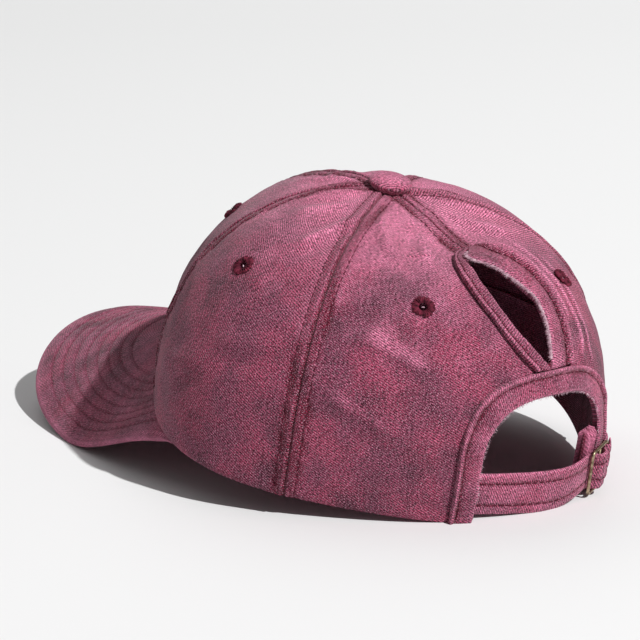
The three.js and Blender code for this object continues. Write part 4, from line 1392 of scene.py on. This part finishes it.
def build_sweatband():
    end = BACK - (ARCH_HALF_WIDTH + ARCH_BINDING_WIDTH) / float(np.hypot(*hem_outline(BACK)))
    turn = np.linspace(-end, end, 301)[:, None]
    share = np.linspace(0, 1, 15)[None, :]
    some_turns = turn[::10, 0]
    tops = np.interp(turn[:, 0], some_turns, [rise_after(t, BAND_HEIGHT) for t in some_turns])
    rise = tops[:, None] * share
    out = -CLOTH - GAP - BAND_EASE
    points = crown_surface(turn, rise) + crown_normal(turn, rise) * out
    place = np.stack(np.broadcast_arrays(turn * 92, share * BAND_HEIGHT), axis=-1)
    edge = 0.4 * (bump(share, 0.06) + bump(share - 1, 0.06)) + 0 * turn
    piece = sheet_from_grid("band_cloth", settle(points), place, edge, 0 * edge, BAND_THICKNESS)
    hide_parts("sweatband")
    finish_piece(piece, BAND_CLOTH)


def build_fray():
    """Short pale fibres at the raw edges of the slot and the arch."""
    dice = np.random.default_rng(11)
    points, faces = [], []
    slot = slot_places(-1, np.linspace(0.06, 0.95, 400))(0.0)
    arch = arch_outline(np.linspace(-0.9, 0.9, 400), 0.0)
    for (across, up), inward, (number, reach) in ((slot, 1, SLOT_FRAY), (arch, 0, ARCH_FRAY)):
        for pick in dice.uniform(0, 399, number):
            a, u = np.interp(pick, np.arange(400), across), np.interp(pick, np.arange(400), up)
            if inward:
                towards = np.array([inward, dice.uniform(-0.5, 0.3)])
            else:
                towards = unit(np.array([-a, ARCH_SPRING - u]) + 1e-6)
            towards = unit(towards + dice.uniform(-0.3, 0.3, 2))
            length = reach * dice.uniform(0.4, 1.3)
            root = on_back(a, u, GAP + dice.uniform(0.3, 1.1))
            tip = on_back(a + towards[0] * length, u + towards[1] * length, GAP + dice.uniform(0.2, 1.2))
            beside = unit(np.cross(tip - root, dice.normal(size=3))) * FIBRE_RADIUS
            other = unit(np.cross(tip - root, beside)) * FIBRE_RADIUS
            base = len(points)
            points += [root + beside, root - beside * 0.5 + other, root - beside * 0.5 - other, tip]
            faces += [[base + i for i in face] for face in ((0, 2, 1), (0, 1, 3), (1, 2, 3), (2, 0, 3))]
    piece = new_object("frayed_fibres", set_down(np.array(points)), faces)
    face_outwards(piece)
    finish_piece(piece, FRAY_AND_LIGHT_SPECK_THREAD)


def build_stage():
    bpy.ops.mesh.primitive_plane_add(size=FLOOR_SIZE)
    floor = bpy.context.object
    floor.name = "floor"
    paint = Paint("pale_floor", Roughness=0.9, Specular_IOR_Level=0.1)
    x, y = paint.split(paint.solid())
    towards_right = x * SCREEN_RIGHT.x + y * SCREEN_RIGHT.y
    farther = x * -BACK_TO_CAMERA.x + y * -BACK_TO_CAMERA.y
    # Painted light and shade on the floor: lighter towards the right of the view and towards the camera,
    # darker farther off.
    shade = towards_right.between(-0.45, 0.35) * (1 - farther.between(-0.2, 2.2) * 0.5)
    shade = shade + farther.between(-0.2, 1.2) * -0.6
    paint.feed("Base_Color", paint.colour(FLOOR_IN_PAINTED_SHADE, FLOOR_IN_PAINTED_LIGHT, shade.between(-0.8, 0.8)))
    floor.data.materials.append(paint.material)

    world = bpy.data.worlds.new("soft_studio")
    bpy.context.scene.world = world
    world.use_nodes = True
    world.node_tree.nodes["Background"].inputs["Color"].default_value = (1, 1, 1, 1)
    world.node_tree.nodes["Background"].inputs["Strength"].default_value = SURROUND

    lights = (
        ("key", KEY_STRENGTH, KEY_SPREAD, KEY_FROM),
        ("fill", FILL_STRENGTH, FILL_SPREAD, FILL_FROM),
    )
    for name, strength, spread, source in lights:
        lamp = bpy.data.lights.new(name, "SUN")
        lamp.energy, lamp.angle = strength, spread
        stand = bpy.data.objects.new(name, lamp)
        bpy.context.scene.collection.objects.link(stand)
        stand.rotation_euler = Vector(source).to_track_quat("Z", "Y").to_euler()


def build_camera():
    camera = bpy.data.objects.new("camera", bpy.data.cameras.new("camera"))
    bpy.context.scene.collection.objects.link(camera)
    camera.location = (Vector(CAMERA_AIM) + BACK_TO_CAMERA * CAMERA_DISTANCE) * MM
    camera.rotation_euler = BACK_TO_CAMERA.to_track_quat("Z", "Y").to_euler()
    camera.data.sensor_width = 36
    camera.data.lens = CAMERA_LENS
    bpy.context.scene.camera = camera


build_crown()
build_button()
build_eyelets()
build_peak()
build_arch_binding()
build_slot_bindings()
strap_rows = ribbon("strap_cloth", "strap", strap_route(), STRAP_THICKNESS, 81)
ribbon("tab_cloth", "strap_tab", tab_route(), TAB_THICKNESS, 91)
lay_stitches("stitches_strap", strap_rows, seed=5)
build_buckle()
build_spare_end()
build_sweatband()
build_fray()
build_stage()
build_camera()

bpy.context.scene.view_settings.view_transform = "Standard"
